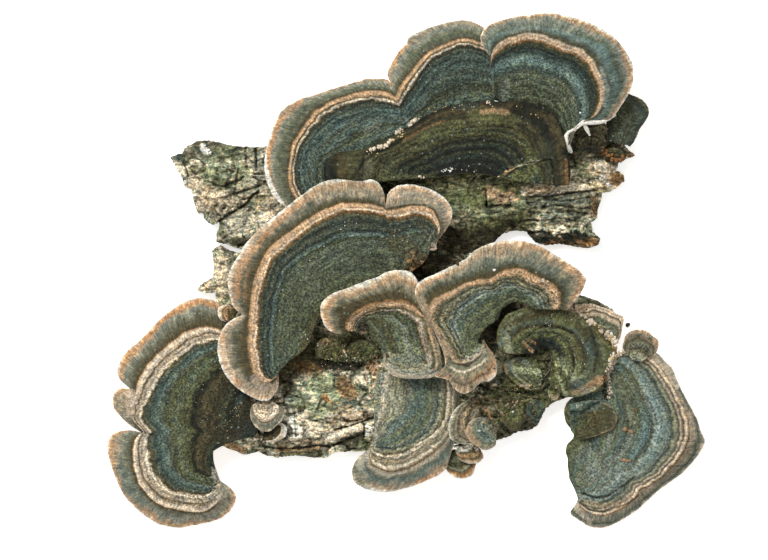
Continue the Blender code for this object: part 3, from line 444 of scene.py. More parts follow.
def bark_finish(name):
    """Weathered bark: a mottled crust with short fibres, painted shade in its pits and painted marks."""
    material, tree, shader, spot = new_finish(name)
    crust = cloud(tree, spot, CRUST_SCALE, 4.0)
    hue = cloud(tree, spot, HUE_SCALE, 2.0)
    grit = cloud(tree, spot, GRIT_SCALE, 3.0)
    fibres = cloud(tree, stretched(tree, spot, ALONG_THE_GRAIN), FIBRE_SCALE, 3.0)
    specks = cloud(tree, spot, SPECK_SCALE, 2.0)
    mixed = plus(tree, times(tree, crust, 0.45), times(tree, hue, 0.3))
    mixed = plus(tree, mixed, times(tree, specks, 0.25))
    stain = painted(tree, "stain")
    colour = colour_ramp(tree, mixed, CRUST_COLOURS)
    colour = layer(tree, stain.outputs["Alpha"], colour, stain.outputs["Color"])
    colour = tinged(tree, tinged(tree, colour, hue, 0.4), specks, 0.5)
    # Painted shade: the crust is darkened in its pits and cracks and lightened on its ridges; moss also
    # gathers in the pits.
    pits = painted(tree, "pit").outputs["Fac"]
    moss = times(tree, between(tree, pits, 0.2, -0.5), between(tree, crust, 0.46, 0.54))
    colour = layer(tree, times(tree, moss, 0.75), colour, tuple(tint("olive")))
    colour = lit(
        tree, colour, swing(tree, grit, 0.5, 0.12), swing(tree, fibres, 0.35, 0.12), swing(tree, hue, 0.25),
        between(tree, pits, -0.9, 0.6, 0.2, 1.4),
    )
    tree.links.new(colour, shader.inputs["Base Color"])
    tree.links.new(between(tree, grit, 0.2, 0.8, 0.8, 1.0), shader.inputs["Roughness"])
    raise_grain(tree, shader, plus(tree, grit, fibres), BARK_GRAIN)
    return material


def rumple(x, y, long, wide, seed=0.0):
    """Smooth noise from about -1 to 1 over arrays of places, in lumps `long` by `wide`."""
    return np.array([noise.noise((a, b, seed)) for a, b in zip(x / long, y / wide)])


def distance_to(x, y, course):
    """How far places are from a point or from a line through several points."""
    nearest = np.hypot(x - course[0][0], y - course[0][1])
    for (x1, y1), (x2, y2) in zip(course, course[1:]):
        long, high = x2 - x1, y2 - y1
        share = np.clip(((x - x1) * long + (y - y1) * high) / (long**2 + high**2), 0, 1)
        nearest = np.minimum(nearest, np.hypot(x - x1 - share * long, y - y1 - share * high))
    return nearest


def shapes_of(folds, x, y):
    """How high each fold stands, and its shape from 0 to 1 over arrays of places."""
    wander = WANDER * rumple(x, y, WANDER_LENGTH, WANDER_LENGTH, 9.0)
    for stand, width, *course in folds:
        yield stand, np.exp(-(((distance_to(x, y, course) + wander) / width) ** 2))


def paint(x, y, marks):
    """The colour and the cover that the marks give each place, with ragged edges."""
    if not marks:
        return np.zeros((len(x), 4))
    ragged = sum(reach * rumple(x, y, long, long, seed) for reach, long, seed in MARK_EDGE)
    cover = np.zeros((len(x), 4))
    for colour, strength, width, *course in marks:
        rags = ragged * min(width, WIDE_MARK)
        inside = (width - distance_to(x, y, course) + rags) / (MARK_BLUR * width) + 0.5
        share = strength * np.clip(inside, 0, 1)[:, None]
        cover[:, :3] = cover[:, :3] * (1 - share) + tint(colour)[:3] * share
        cover[:, 3:] = 1 - (1 - cover[:, 3:]) * (1 - share)
    cover[:, :3] /= np.maximum(cover[:, 3:], 1e-6)
    return cover


def seen_from_above(points):
    """Where points in metres lie in the picture."""
    spots = np.array([point[:2] for point in points]) / PIXEL
    return MIDDLE[0] + spots[:, 0], MIDDLE[1] - spots[:, 1]


def give(piece, name, kind, values):
    """Stores one value for each of a piece's points, for its material to read."""
    key = "value" if kind == "FLOAT" else "color" if kind == "FLOAT_COLOR" else "vector"
    attribute = piece.data.attributes.new(name, kind, "POINT")
    attribute.data.foreach_set(key, np.asarray(values, np.float32).ravel())


def stand_for(piece, solid):
    """The piece rides on the one body and is shown in its solid's place."""
    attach(piece, "root")
    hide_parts(solid)


def broken_edge(outline):
    """The outline with small splinters between its points."""
    corners = []
    for index, start in enumerate(outline):
        end = outline[(index + 1) % len(outline)]
        long, high = end[0] - start[0], end[1] - start[1]
        length = np.hypot(long, high)
        steps = max(1, int(length / BARK_STEP))
        for step in range(steps):
            x, y = start[0] + step / steps * long, start[1] + step / steps * high
            chip = CHIP_DEPTH * noise.noise((x / CHIP_LENGTH, y / CHIP_LENGTH, 1.0)) - CHIP_BACK
            corners.append((x - chip * high / length, y + chip * long / length))
    return corners


def cracked(x, y, long, wide):
    """Plates of about `long` by `wide`: 0 in their cracks to 1 on them, and each one's height."""
    bend_x, bend_y = (CRACK_BEND * rumple(x, y, long, long, seed) for seed in (31.0, 32.0))
    edges, levels = np.zeros(len(x)), np.zeros(len(x))
    for index, spot in enumerate(zip(x / long + bend_x, y / wide + bend_y)):
        distances, middles = noise.voronoi((*spot, long))
        edges[index] = min(1.0, CRACK_STEEPNESS * (distances[1] - distances[0]))
        levels[index] = noise.cell(middles[0] * 7.3)
    return edges, levels


def bark_heights(x, y, outline, lumps, folds):
    """The bark's top in millimetres, ridged and cracked, and how its pits lie from -1 to 1."""
    rise = np.minimum(1.0, distance_to(x, y, list(outline) + [outline[0]]) / BARK_SHOULDER)
    height = BARK_EDGE + (BARK_MIDDLE - BARK_EDGE) * rise * (2 - rise)
    for lift, long, wide in GRAINS:
        height = height + lift * rumple(x, y, long, wide, long)
    rubble = sum(lift * rumple(x, y, long, wide, long) for lift, long, wide in RUBBLE)
    for lump_x, lump_y, radius, lift in lumps:
        near = 1 - ((x - lump_x) ** 2 + (y - lump_y) ** 2) / radius**2
        height = height + lift * np.maximum(0.0, near) ** 1.5
    for stand, long, wide in PLATES:
        edges, levels = cracked(x, y, long, wide)
        rubble = rubble + stand * (0.7 * levels + 0.9 * edges - 0.7)
    for stand, fold in shapes_of(folds, x, y):
        rubble = rubble + stand * fold
    return height + rubble, np.clip(rubble * 1.2 + 0.1, -1, 1)


def fill(corners):
    """Points all over the inside of an outline, in staggered rows."""
    left, right = min(x for x, y in corners), max(x for x, y in corners)
    top, bottom = min(y for x, y in corners), max(y for x, y in corners)
    lines = np.arange(top, bottom, BARK_STEP * ROW_GAP)
    columns, lines = np.meshgrid(np.arange(left, right, BARK_STEP), lines)
    columns = columns + 0.5 * BARK_STEP * (np.arange(len(columns)) % 2)[:, None]
    x, y = columns.ravel(), lines.ravel()
    ring = corners + [corners[0]]
    inside = np.zeros(len(x), bool)
    for (x1, y1), (x2, y2) in zip(ring, ring[1:]):
        crosses = (y1 > y) != (y2 > y)
        inside ^= crosses & (x < (x2 - x1) * (y - y1) / (y2 - y1 + 1e-12) + x1)
    x, y = x[inside], y[inside]
    clear = distance_to(x, y, ring) > CLEAR_OF_EDGE * BARK_STEP
    return list(zip(x[clear], y[clear]))


def add_bark(solid, outline, folds, marks, lumps=()):
    """A slab of bark: a rough top over its outline, upright broken edges and a flat back."""
    corners = broken_edge(outline)
    count = len(corners)
    sides = [(index, (index + 1) % count) for index in range(count)]
    flat = geometry.delaunay_2d_cdt([Vector(point) for point in corners + fill(corners)], sides, [], 1, 1e-5)
    x, y = np.array([point.x for point in flat[0]]), np.array([point.y for point in flat[0]])
    heights, pits = bark_heights(x, y, outline, lumps, folds)
    points = [place(*spot) for spot in zip(x, y, heights)]
    faces = [tuple(reversed(face)) for face in flat[2]]
    upper = range(count)
    for level in range(1, EDGE_LEVELS + 1):
        lower = range(len(points), len(points) + count)
        for index in range(count):
            rough = EDGE_ROUGHNESS * noise.noise((x[index] / 1.5, y[index] / 1.5, 3.0 * level))
            rough = rough * (level < EDGE_LEVELS)
            height = heights[index] * (1 - level / EDGE_LEVELS)
            points.append(place(x[index] + rough, y[index] + rough, height))
        faces += [(upper[start], upper[end], lower[end], lower[start]) for start, end in sides]
        upper = lower
    faces.append(tuple(lower))
    piece = add_piece(solid + "_grown", points, faces, [bark_finish(solid)])
    piece.data.polygons[-1].use_smooth = False
    give(piece, "stain", "FLOAT_COLOR", paint(*seen_from_above(points), marks))
    # How deep each point lies in a pit or crack, which the material paints as shade.
    give(piece, "pit", "FLOAT", np.concatenate([pits, np.zeros(len(points) - len(pits))]))
    stand_for(piece, solid)


add_bark("bark_upper", UPPER_BARK, UPPER_FOLDS, UPPER_MARKS)
add_bark("bark_lower", LOWER_BARK, LOWER_FOLDS, LOWER_MARKS, LOWER_LUMPS)

# The leaf and the two brackets at the right end of the upper bark
# Small old caps, tough and thin, dark with algae. Each grows straight out of the bark's broken end.
# A small cap is its heart's two ends and its rim. Its ridge lies at SMALL_RIDGE of the way out.
SMALL_RIDGE = 0.68
# How far apart the points of a cap are, how much closer outside its ridge, how few sections and rings it
# has at the least, and the rings of its underside.
FINENESS, RIM_FINENESS = 0.34, 1.3
FEWEST_SECTIONS, FEWEST_RINGS = 24, 8
UNDER_RINGS = np.concatenate([np.linspace(0, 1, 14), np.linspace(1, 1.99, 12)[1:]])
# A solid is felt from above and from below, at LATTICE places along it and on these rings. Where a ray
# misses it at the rim, the next one goes a little further in.
LATTICE = 44
TOP_FELT, UNDER_FELT = (0.02, 0.5, 1.0, 1.5, 1.985), (0.02, 0.5, 1.0, 1.86)
FEEL_INWARDS = (0, 0.03, 0.07, 0.12, 0.2, 0.3, 0.45)
BELOW_ALL, ABOVE_ALL = -50, 100
# How thick the flesh is at the least and at the rim, and how fast it thickens. The rim is rounded off, the
# cap gets thinner near its two ends, and its face swells a little.
THINNEST, RIM_THICKNESS, THICKENING = 0.5, 0.45, 9.0
RIM_ROUNDING, END_TAPER, SWELL = 0.22, 1.2, 0.25
# How deep and how wide the two ends are torn, from which ring on the rim is ragged, over how many rings,
# and how deep at the most. A rag is how deep and how long it is.
TORN_DEPTH, TORN_WIDTH = 0.6, 2.6
RAGGED_FROM, RAGGED_WIDTH, DEEPEST_RAG = 1.55, 0.45, 1.4
RIM_RAGS = ((0.5, 0.9), (0.6, 2.6), (0.35, 0.45))
# How many lumps of noise there are in a metre of the flesh, and how long the lumps that follow the growth
# are, along the cap and outwards.
NAP_SCALE, FELT_SCALE, PATCH_SCALE, DUST_SCALE = 1700.0, 720.0, 130.0, 560.0
PORE_SCALE, BLOTCH_SCALE = 3400.0, 240.0
HAIR_SIZE, TUFT_SIZE, RING_SIZE, RIPPLE_SIZE = (0.42, 3.0), (1.3, 6.0), (9.0, 0.45), (8.0, 1.5)
CAP_SHEEN, CAP_GRAIN, PORE_GRAIN = 0.06, 0.26 * MM, 0.12 * MM
LEAF_HEART = ((606, 117), (608, 141))
LEAF_RIM = ((626, 92), (637, 96), (645, 101), (650, 110), (647, 120), (641, 128), (637, 138), (631, 147))
BRACKET_LEFT_HEART = ((583, 150), (602, 152))
BRACKET_LEFT_RIM = ((578, 141), (580, 131), (589, 127), (599, 130), (606, 138), (607, 146))
BRACKET_RIGHT_HEART = ((606, 162), (622, 162))
BRACKET_RIGHT_RIM = ((602, 156), (604, 150), (612, 147), (621, 149), (626, 155))
# A band of growth is its colour, how far it stands up, then the ring it lies at, spread along the cap from
# its first row to its last. Rings go from 0 at the heart over 1 at the ridge to 2 at the rim.
LEAF_BANDS = (
    ("pitch", 0, 0), ("bog", 0, 0.3), ("dusk", 0, 0.65), ("bog", 0, 0.95), ("dusk", 0.05, 1.2),
    ("slate", 0, 1.5), ("bog", 0, 1.8), ("smoke", 0, 2),
)
LEAF_MARKS = (
    ("steel", 0.5, 0.8, (632, 105), (637, 115), (640, 123)),
    ("steel", 0.4, 0.8, (615, 125), (620, 130), (625, 138)),
    ("haze", 0.3, 0.6, (618, 118), (630, 122), (640, 124)),
)
BRACKET_BANDS = (
    ("pitch", 0, 0), ("peat", 0, 0.5), ("umber", 0.05, 0.8), ("pitch", -0.05, 0.95), ("umber", 0.08, 1.2),
    ("peat", 0, 1.45), ("olive", 0.05, 1.7), ("umber", 0, 1.9), ("olive", 0, 2),
)


def grown(tree, grain, size, detail=2.0):
    """Noise that follows the growth, in lumps of a length along the cap and a length outwards."""
    return cloud(tree, stretched(tree, grain, (1 / size[0], 1 / size[1], 1.0)), 1.0, detail)


def cap_finish(name, bands, streaked):
    """Velvety flesh in bands of growth, with hairs that run outwards, fine rings and pale dust."""
    material, tree, shader, spot = new_finish(name, CAP_SHEEN)
    grain = painted(tree, "grain").outputs["Vector"]
    ring = painted(tree, "ring").outputs["Fac"]
    fringe = between(tree, ring, 0.8, 1.05, streaked, 1.0)
    inner = maths(tree, "SUBTRACT", 1.12, fringe)
    hairs = grown(tree, grain, HAIR_SIZE, 3.0)
    tufts = grown(tree, grain, TUFT_SIZE)
    rings = grown(tree, grain, RING_SIZE)
    ripples = grown(tree, grain, RIPPLE_SIZE)
    nap = cloud(tree, spot, NAP_SCALE, 2.0)
    felt = cloud(tree, spot, FELT_SCALE, 3.0)
    patches = cloud(tree, spot, PATCH_SCALE, 3.0)
    drift = times(tree, between(tree, ring, 1.2, 1.5), between(tree, patches, 0.34, 0.66, -1.1, 1.1))
    shift = plus(tree, between(tree, felt, 0.2, 0.8, -0.3, 0.3), between(tree, ripples, 0.2, 0.8, -0.4, 0.4))
    shift = times(tree, shift, between(tree, fringe, streaked, 1.0, 1.0, 0.4))
    zone = plus(tree, painted(tree, "zone").outputs["Fac"], plus(tree, drift, shift))
    last = len(bands) - 1
    stops = [(index / last, band[0]) for index, band in enumerate(bands)]
    colour = colour_ramp(tree, maths(tree, "DIVIDE", zone, float(last)), stops)
    stain = painted(tree, "stain")
    colour = layer(tree, stain.outputs["Alpha"], colour, stain.outputs["Color"])
    mottled = tinged(tree, tinged(tree, colour, felt, 0.4), patches, 0.3)
    colour = layer(tree, times(tree, fringe, 0.8), mottled, tinged(tree, colour, tufts, 0.25))
    # The last factor is painted shade in the pits and creases and a painted highlight on raised folds.
    colour = lit(
        tree, colour, swing(tree, nap, maths(tree, "SUBTRACT", 0.64, times(tree, fringe, 0.4)), 0.1),
        swing(tree, felt, 0.25), swing(tree, rings, times(tree, inner, 0.36)),
        swing(tree, ripples, times(tree, inner, 0.25)), swing(tree, hairs, times(tree, fringe, 0.36)),
        swing(tree, tufts, times(tree, fringe, 0.18)),
        between(tree, painted(tree, "pit").outputs["Fac"], -1.0, 1.0, 0.35, 1.65),
    )
    dust = node(tree, "TexVoronoi", (("Vector", spot), ("Scale", DUST_SCALE)))
    dots = between(tree, dust.outputs["Distance"], 0.1, 0.2, 1.0, 0.0)
    chosen = between(tree, dust.outputs["Color"], 0.66, 0.7, 0.0, 0.75)
    colour = layer(tree, times(tree, dots, chosen), colour, tuple(tint("mist")))
    tree.links.new(colour, shader.inputs["Base Color"])
    tree.links.new(between(tree, nap, 0.2, 0.8, 0.72, 0.98), shader.inputs["Roughness"])
    ribbed = plus(tree, times(tree, hairs, fringe), times(tree, rings, inner))
    raise_grain(tree, shader, plus(tree, plus(tree, nap, felt), ribbed), CAP_GRAIN)
    return material


def pore_finish(name):
    """The cream underside, pricked all over with tiny round pores."""
    material, tree, shader, spot = new_finish(name)
    pores = node(tree, "TexVoronoi", (("Vector", spot), ("Scale", PORE_SCALE))).outputs["Distance"]
    hollow = between(tree, pores, 0.1, 0.5)
    blotch = cloud(tree, spot, BLOTCH_SCALE, 4.0)
    flesh = colour_ramp(tree, blotch, ((0.3, "fawn"), (0.45, "cream"), (0.7, "chalk")))
    colour = layer(tree, hollow, flesh, layer(tree, 0.75, flesh, tuple(tint("fawn"))))
    tree.links.new(colour, shader.inputs["Base Color"])
    tree.links.new(between(tree, blotch, 0.2, 0.8, 0.75, 0.92), shader.inputs["Roughness"])
    raise_grain(tree, shader, maths(tree, "SUBTRACT", 1.0, hollow), PORE_GRAIN)
    return material


def through(points, at):
    """Points along a smooth curve, which meets the given points at whole numbers."""
    points = np.asarray(points, float)
    last = len(points) - 1
    at = np.clip(at, 0, last)
    first = np.clip(at.astype(int), 0, max(last - 1, 0))
    t = (at - first)[:, None]
    a, b, c, d = (points[np.clip(first + step, 0, last)] for step in (-1, 0, 1, 2))
    return 0.5 * (2 * b + (c - a) * t + (2 * a - 5 * b + 4 * c - d) * t**2 + (3 * b - a - 3 * c + d) * t**3)


def across(rows, rings):
    """Where the rings cross the rows: 0 is the heart, 1 the ridge and 2 the rim."""
    rim, ridge, heart = rows[..., 0:2], rows[..., 2:4], rows[..., 4:6]
    ring = np.asarray(rings)[:, None]
    return np.where(ring <= 1, heart + (ridge - heart) * ring, ridge + (rim - ridge) * (ring - 1))


def felt_heights(tree, lattice, rings, up):
    """The heights in millimetres of a solid's top, or of its underside."""
    heights = np.full((len(lattice), len(rings)), np.nan)
    start, way = (BELOW_ALL, Vector((0, 0, 1))) if up else (ABOVE_ALL, Vector((0, 0, -1)))
    for row, ring in np.ndindex(heights.shape):
        for inwards in FEEL_INWARDS:
            x, y = across(lattice[row], [rings[ring] + (1 - rings[ring]) * inwards])[0]
            hit = tree.ray_cast(place(x, y, start), way)[0]
            if hit:
                heights[row, ring] = hit.z / MM
                break
    for felt in heights.T:
        found = np.flatnonzero(np.isfinite(felt))
        felt[:] = np.interp(np.arange(len(felt)), found, felt[found])
    return heights


def feel(solid, rows):
    """The heights of a solid's top and of its underside, felt at a lattice of places."""
    skin = frame["nodes"][solid].data
    corners = [corner.co.copy() for corner in skin.vertices]
    faces = [face.vertices[:] for face in skin.polygons]
    tree = BVHTree.FromPolygons(corners, faces)
    lattice = through(rows, np.linspace(0.004, 0.996, LATTICE) * (len(rows) - 1))[:, None, :]
    return felt_heights(tree, lattice, TOP_FELT, up=False), felt_heights(tree, lattice, UNDER_FELT, up=True)


def smooth_heights(felt, felt_rings, share, rings):
    """Heights between the felt ones."""
    along = through(felt, share * (len(felt) - 1))
    at = np.interp(rings, felt_rings, range(len(felt_rings)))
    return through(along.T, at).T


def spaced(rows):
    """Shares of the way along the rows, evenly spaced on the ground, and the length they cover."""
    fine = np.linspace(0, 1, 600)
    seen = through(rows, fine * (len(rows) - 1))
    rim, ridge = (np.hypot(*np.diff(seen[:, first:first + 2], axis=0).T) for first in (0, 2))
    steps = rim * 0.6 + ridge * 0.4
    length = np.concatenate([[0], np.cumsum(steps)]) * PIXEL / MM
    count = max(FEWEST_SECTIONS, int(length[-1] / FINENESS))
    return np.interp(np.linspace(0, length[-1], count), length, fine), length[-1]


def lay_net(rows):
    """A net over a cap: sections along it, rings across it and where its points lie in millimetres."""
    share, length = spaced(rows)
    seen = through(rows, share * (len(rows) - 1))
    inner = np.hypot(seen[:, 2] - seen[:, 4], seen[:, 3] - seen[:, 5]).mean() * PIXEL / MM
    outer = np.hypot(seen[:, 0] - seen[:, 2], seen[:, 1] - seen[:, 3]).mean() * PIXEL / MM
    inner_rings = np.linspace(0, 1, max(FEWEST_RINGS, int(inner / FINENESS)))
    outer_rings = np.linspace(1, 2, max(FEWEST_RINGS, int(outer / FINENESS * RIM_FINENESS)))[1:]
    rings = np.concatenate([inner_rings, outer_rings])
    shape = (len(share), len(rings))
    return SimpleNamespace(
        share=share, rings=rings, shape=shape, length=length, seen=seen,
        from_end=np.minimum(share, 1 - share) * length, widths=np.where(rings > 1, outer, inner)[None, :],
        along=np.broadcast_to((share * length)[:, None], shape),
        outward=np.broadcast_to(np.interp(rings, (0, 1, 2), (0, inner, inner + outer)), shape),
    )


def waves(net, long, wide, seed):
    """Smooth noise over a net, in lumps `long` along the cap and `wide` outwards."""
    return rumple(net.along.ravel(), net.outward.ravel(), long, wide, seed).reshape(net.shape)


def spread(net, rows):
    """Where a net's points lie in the picture, with the cap's two ends torn and its rim ragged."""
    ends = np.where(net.share < 0.5, 1, -1)
    inwards = TORN_DEPTH * np.clip(1 - net.from_end / TORN_WIDTH, 0, 1) * ends / net.length
    tears = 0.6 + 0.8 * waves(net, 1e3, 1.4, 1.0) + 0.5 * waves(net, 1e3, 0.6, 2.0)
    torn = net.share[:, None] + inwards[:, None] * tears
    spots = across(through(rows, (torn * (len(rows) - 1)).ravel()).reshape(net.shape + (6,)), net.rings)
    run = net.along[:, 0]
    ragged = sum(depth * rumple(run, run, long, long, 2.0) for depth, long in RIM_RAGS)
    nearness = np.clip((net.rings - RAGGED_FROM) / RAGGED_WIDTH, 0, 1) ** 2
    pull = nearness[None, :, None] * (0.6 + ragged)[:, None, None] * 0.9
    out = net.seen[:, 0:2] - net.seen[:, 2:4]
    out /= np.maximum(np.hypot(*out.T), 1e-6)[:, None]
    return spots - out[:, None, :] * np.clip(pull, 0, DEEPEST_RAG)


def along_bands(bands, share):
    """The ring of every band at each share of the way along the cap."""
    rings = [through(np.array(band[2:])[:, None], share * (len(band) - 3))[:, 0] for band in bands]
    return np.maximum.accumulate(np.array(rings) + 1e-4 * np.arange(len(bands))[:, None], axis=0)


def growth(net, bands):
    """Which band each point of a net lies in, counted from the heart, and how far it stands up there."""
    wobble = (0.4 * waves(net, 3.5, 5.0, 7.0) + 0.2 * waves(net, 1.1, 2.5, 8.0)) / net.widths
    waved = net.rings[None, :] + wobble * np.clip((2.02 - net.rings) * 12, 0, 1)[None, :]
    lines = along_bands(bands, net.share)
    numbers = np.arange(len(bands))
    zone = np.array([np.interp(row, lines[:, index], numbers) for index, row in enumerate(waved)])
    return zone, np.interp(zone, numbers, [band[1] for band in bands])


def relief(net, spots, lift, folds, rough):
    """How far a cap's top stands off its solid, and how its pits lie."""
    x, y = spots[..., 0].ravel(), spots[..., 1].ravel()
    outside = np.clip((net.rings - 1) / 0.3, 0, 1)[None, :]
    pits = 0.6 * rumple(x, y, 3.4, 3.4, 21.0) + 0.5 * rumple(x, y, 1.6, 1.6, 22.0)
    pits = pits.reshape(net.shape)
    detail = lift + SWELL * waves(net, 6.0, 9.0, 5.0) * (net.rings[None, :] / 2) + (0.05 + rough) * pits
    detail = detail + outside * (0.1 * waves(net, 2.2, 8.0, 11.0) + 0.06 * waves(net, 0.8, 3.0, 6.0))
    for height, shape in shapes_of(folds, x, y):
        detail = detail + height * shape.reshape(net.shape)
        pits = pits + np.sign(height) * shape.reshape(net.shape)
    return detail, pits


def knit(net, zone, pits, top_points, under_points):
    """A cap's points, section by section over the top and back below, and what its material reads."""
    points, zones, grains, shade_pits = [], [], [], []
    for index, (upper, under) in enumerate(zip(top_points, under_points)):
        points += [place(*spot) for spot in upper]
        points += [place(*spot) for spot in under[::-1]]
        zones.append(np.concatenate([zone[index], np.full(len(UNDER_RINGS), zone[index][-1])]))
        shade_pits.append(np.concatenate([pits[index], np.zeros(len(UNDER_RINGS))]))
        below = np.interp(UNDER_RINGS[::-1], net.rings, net.outward[index])
        reach = np.concatenate([net.outward[index], below])
        grains.append(np.stack([np.full(len(reach), net.along[index, 0]), reach], axis=-1))
    return points, np.concatenate(zones), np.concatenate(grains), np.concatenate(shade_pits)


def skin_over(sections, size, over):
    """Faces round the sections, closed at both ends, and which are the underside's."""
    faces = [tuple(range(size)), tuple(reversed(range((sections - 1) * size, sections * size)))]
    skins = [1, 1]
    for section in range(sections - 1):
        near, far = section * size, (section + 1) * size
        for side in range(size):
            after = (side + 1) % size
            faces.append((near + side, far + side, far + after, near + after))
            skins.append(0 if side < over - 1 else 1)
    return faces, skins


def add_cap(solid, rows, bands, marks=(), folds=(), rough=0.0, streaked=0.12):
    """A cap grown over its solid: a banded top, a ragged rounded rim and a pored underside."""
    rows = np.array(rows, float)
    net = lay_net(rows)
    spots = spread(net, rows)
    zone, lift = growth(net, bands)
    detail, pits = relief(net, spots, lift, folds, rough)
    tops, unders = feel(solid, rows)
    taper = np.sqrt(1 - (1 - np.clip(net.from_end / END_TAPER, 0, 1)) ** 2)[:, None] * 0.85 + 0.15
    sunk = (1 - taper) * 0.3
    rounding = RIM_ROUNDING * np.clip((net.rings - 1.9) / 0.1, 0, 1) ** 2
    top = smooth_heights(tops, TOP_FELT, net.share, net.rings) + detail - rounding[None, :] - sunk

    def below(values):
        return np.array([np.interp(UNDER_RINGS, net.rings, row) for row in values])

    under_top = smooth_heights(tops, TOP_FELT, net.share, UNDER_RINGS)
    thick = np.maximum(under_top - smooth_heights(unders, UNDER_FELT, net.share, UNDER_RINGS), THINNEST)
    thick = np.minimum(thick, RIM_THICKNESS + (UNDER_RINGS[-1] - UNDER_RINGS)[None, :] * THICKENING)
    under = under_top + 0.6 * below(detail) - sunk - thick * taper
    top_points = np.dstack([spots, top])
    under_points = np.dstack([below(spots[..., 0]), below(spots[..., 1]), under])
    points, zones, grains, shade_pits = knit(net, zone, pits, top_points, under_points)
    size = len(net.rings) + len(UNDER_RINGS)
    faces, skins = skin_over(len(net.share), size, len(net.rings))
    finishes = [cap_finish(solid, bands, streaked), pore_finish(solid + "_pores")]
    piece = add_piece(solid + "_grown", points, faces, finishes)
    piece.data.polygons.foreach_set("material_index", skins)
    give(piece, "zone", "FLOAT", zones)
    give(piece, "ring", "FLOAT", np.tile(np.concatenate([net.rings, UNDER_RINGS[::-1]]), len(net.share)))
    # Painted shade: how deep each point of the top lies in a pit or crease, stronger on rough caps.
    give(piece, "pit", "FLOAT", np.clip(shade_pits * (0.35 + 1.6 * rough), -1, 1))
    give(piece, "grain", "FLOAT_VECTOR", np.column_stack([grains, np.full(len(grains), len(rows))]))
    give(piece, "stain", "FLOAT_COLOR", paint(*seen_from_above(points), marks))
    stand_for(piece, solid)


def fan_rows(heart, rim):
    """Rows for a small cap, from a short straight heart to its rim."""
    rows = []
    for index, (x, y) in enumerate(rim):
        share = index / (len(rim) - 1)
        root = [heart[0][axis] + (heart[1][axis] - heart[0][axis]) * share for axis in (0, 1)]
        ridge = [root[0] + (x - root[0]) * SMALL_RIDGE, root[1] + (y - root[1]) * SMALL_RIDGE]
        rows.append((x, y, *ridge, *root))
    return rows


add_cap("cap_leaf", fan_rows(LEAF_HEART, LEAF_RIM), LEAF_BANDS, LEAF_MARKS, rough=0.2)
add_cap(
    "bracket_right", fan_rows(BRACKET_RIGHT_HEART, BRACKET_RIGHT_RIM), BRACKET_BANDS,
    rough=0.35,
)
add_cap(
    "bracket_left", fan_rows(BRACKET_LEFT_HEART, BRACKET_LEFT_RIM), BRACKET_BANDS, rough=0.35,
)

# The caps at the top
# Two caps grown together at the left and a broad one at the right. Each is a fresh, leathery fan with a
# dark blue-green heart, a raised tan ridge where last season's growth stopped, and a paler rim.
TOP_LEFT_ROWS = (
    (296, 216, 306, 205, 335, 196), (288, 210, 299, 202, 331, 190), (276, 200, 293, 194, 328, 184),
    (268, 187, 289, 184, 326, 177), (264, 170, 288, 171, 326, 168), (265, 153, 289, 156, 330, 160),
    (269, 137, 293, 141, 340, 157), (275, 121, 301, 127, 352, 155), (283, 109, 310, 115, 362, 153),
    (297, 100, 320, 106, 371, 150), (313, 95, 332, 100, 379, 147), (330, 89, 344, 96, 386, 143),
    (347, 84, 356, 93, 392, 140), (362, 79, 368, 91, 397, 137), (376, 78, 381, 92, 401, 134),
    (387, 79, 391, 95, 405, 131), (390, 82, 396, 98, 410, 128), (387, 74, 401, 88, 417, 124),
    (391, 63, 408, 78, 425, 120), (398, 52, 415, 68, 433, 116), (406, 43, 424, 57, 442, 113),
    (408, 37, 436, 49, 450, 111), (422, 30, 446, 44, 458, 109), (440, 24, 457, 40, 465, 107),
    (457, 20, 467, 39, 472, 106), (472, 21, 476, 41, 480, 105), (485, 28, 486, 46, 488, 104),
    (492, 36, 493, 52, 495, 104),
)
TOP_LEFT_BANDS = (
    ("pitch", 0, 0), ("bog", 0, 0.07), ("steel", 0, 0.14, 0.14, 0.16, 0.12, 0.1, 0.1),
    ("sage", 0, 0.2, 0.2, 0.26, 0.16, 0.2, 0.2), ("bog", 0, 0.24, 0.24, 0.33, 0.18, 0.34, 0.3),
    ("steel", 0, 0.32, 0.32, 0.42, 0.24, 0.42, 0.4), ("dusk", 0, 0.42, 0.44, 0.52, 0.3, 0.5, 0.5),
    ("steel", 0.04, 0.5, 0.52, 0.57, 0.38, 0.58, 0.58), ("slate", -0.03, 0.56, 0.6, 0.62, 0.44, 0.66, 0.66),
    ("steel", 0.06, 0.62, 0.66, 0.67, 0.5, 0.72, 0.735),
    ("slate", -0.05, 0.68, 0.71, 0.72, 0.56, 0.77, 0.79), ("dusk", 0, 0.74, 0.75, 0.76, 0.62, 0.82, 0.83),
    ("ink", -0.08, 0.8, 0.79, 0.8, 0.68, 0.86, 0.86), ("umber", 0, 0.83, 0.82, 0.83, 0.73, 0.89, 0.885),
    ("cream", 0.25, 0.86, 0.85, 0.87, 0.8, 0.92, 0.91),
    ("umber", 0.1, 0.885, 0.875, 0.895, 0.86, 0.94, 0.93),
    ("tan", 0.25, 0.92, 0.905, 0.925, 0.91, 0.96, 0.95),
    ("peach", 0.33, 0.95, 0.93, 0.945, 0.94, 0.975, 0.965),
    ("tan", 0.25, 0.99, 0.95, 0.965, 1.0, 0.99, 0.98), ("umber", -0.08, 1.05, 0.98, 1.0, 1.12, 1.03, 1.02),
    ("smoke", 0, 1.2, 1.1, 1.12, 1.3, 1.14, 1.14), ("sage", 0, 1.34), ("ash", 0, 1.5), ("haze", 0, 1.62),
    ("taupe", 0.03, 1.74), ("fawn", 0.05, 1.85), ("tan", 0.06, 1.93), ("cream", 0.04, 1.98),
    ("chalk", 0, 2.02),
)
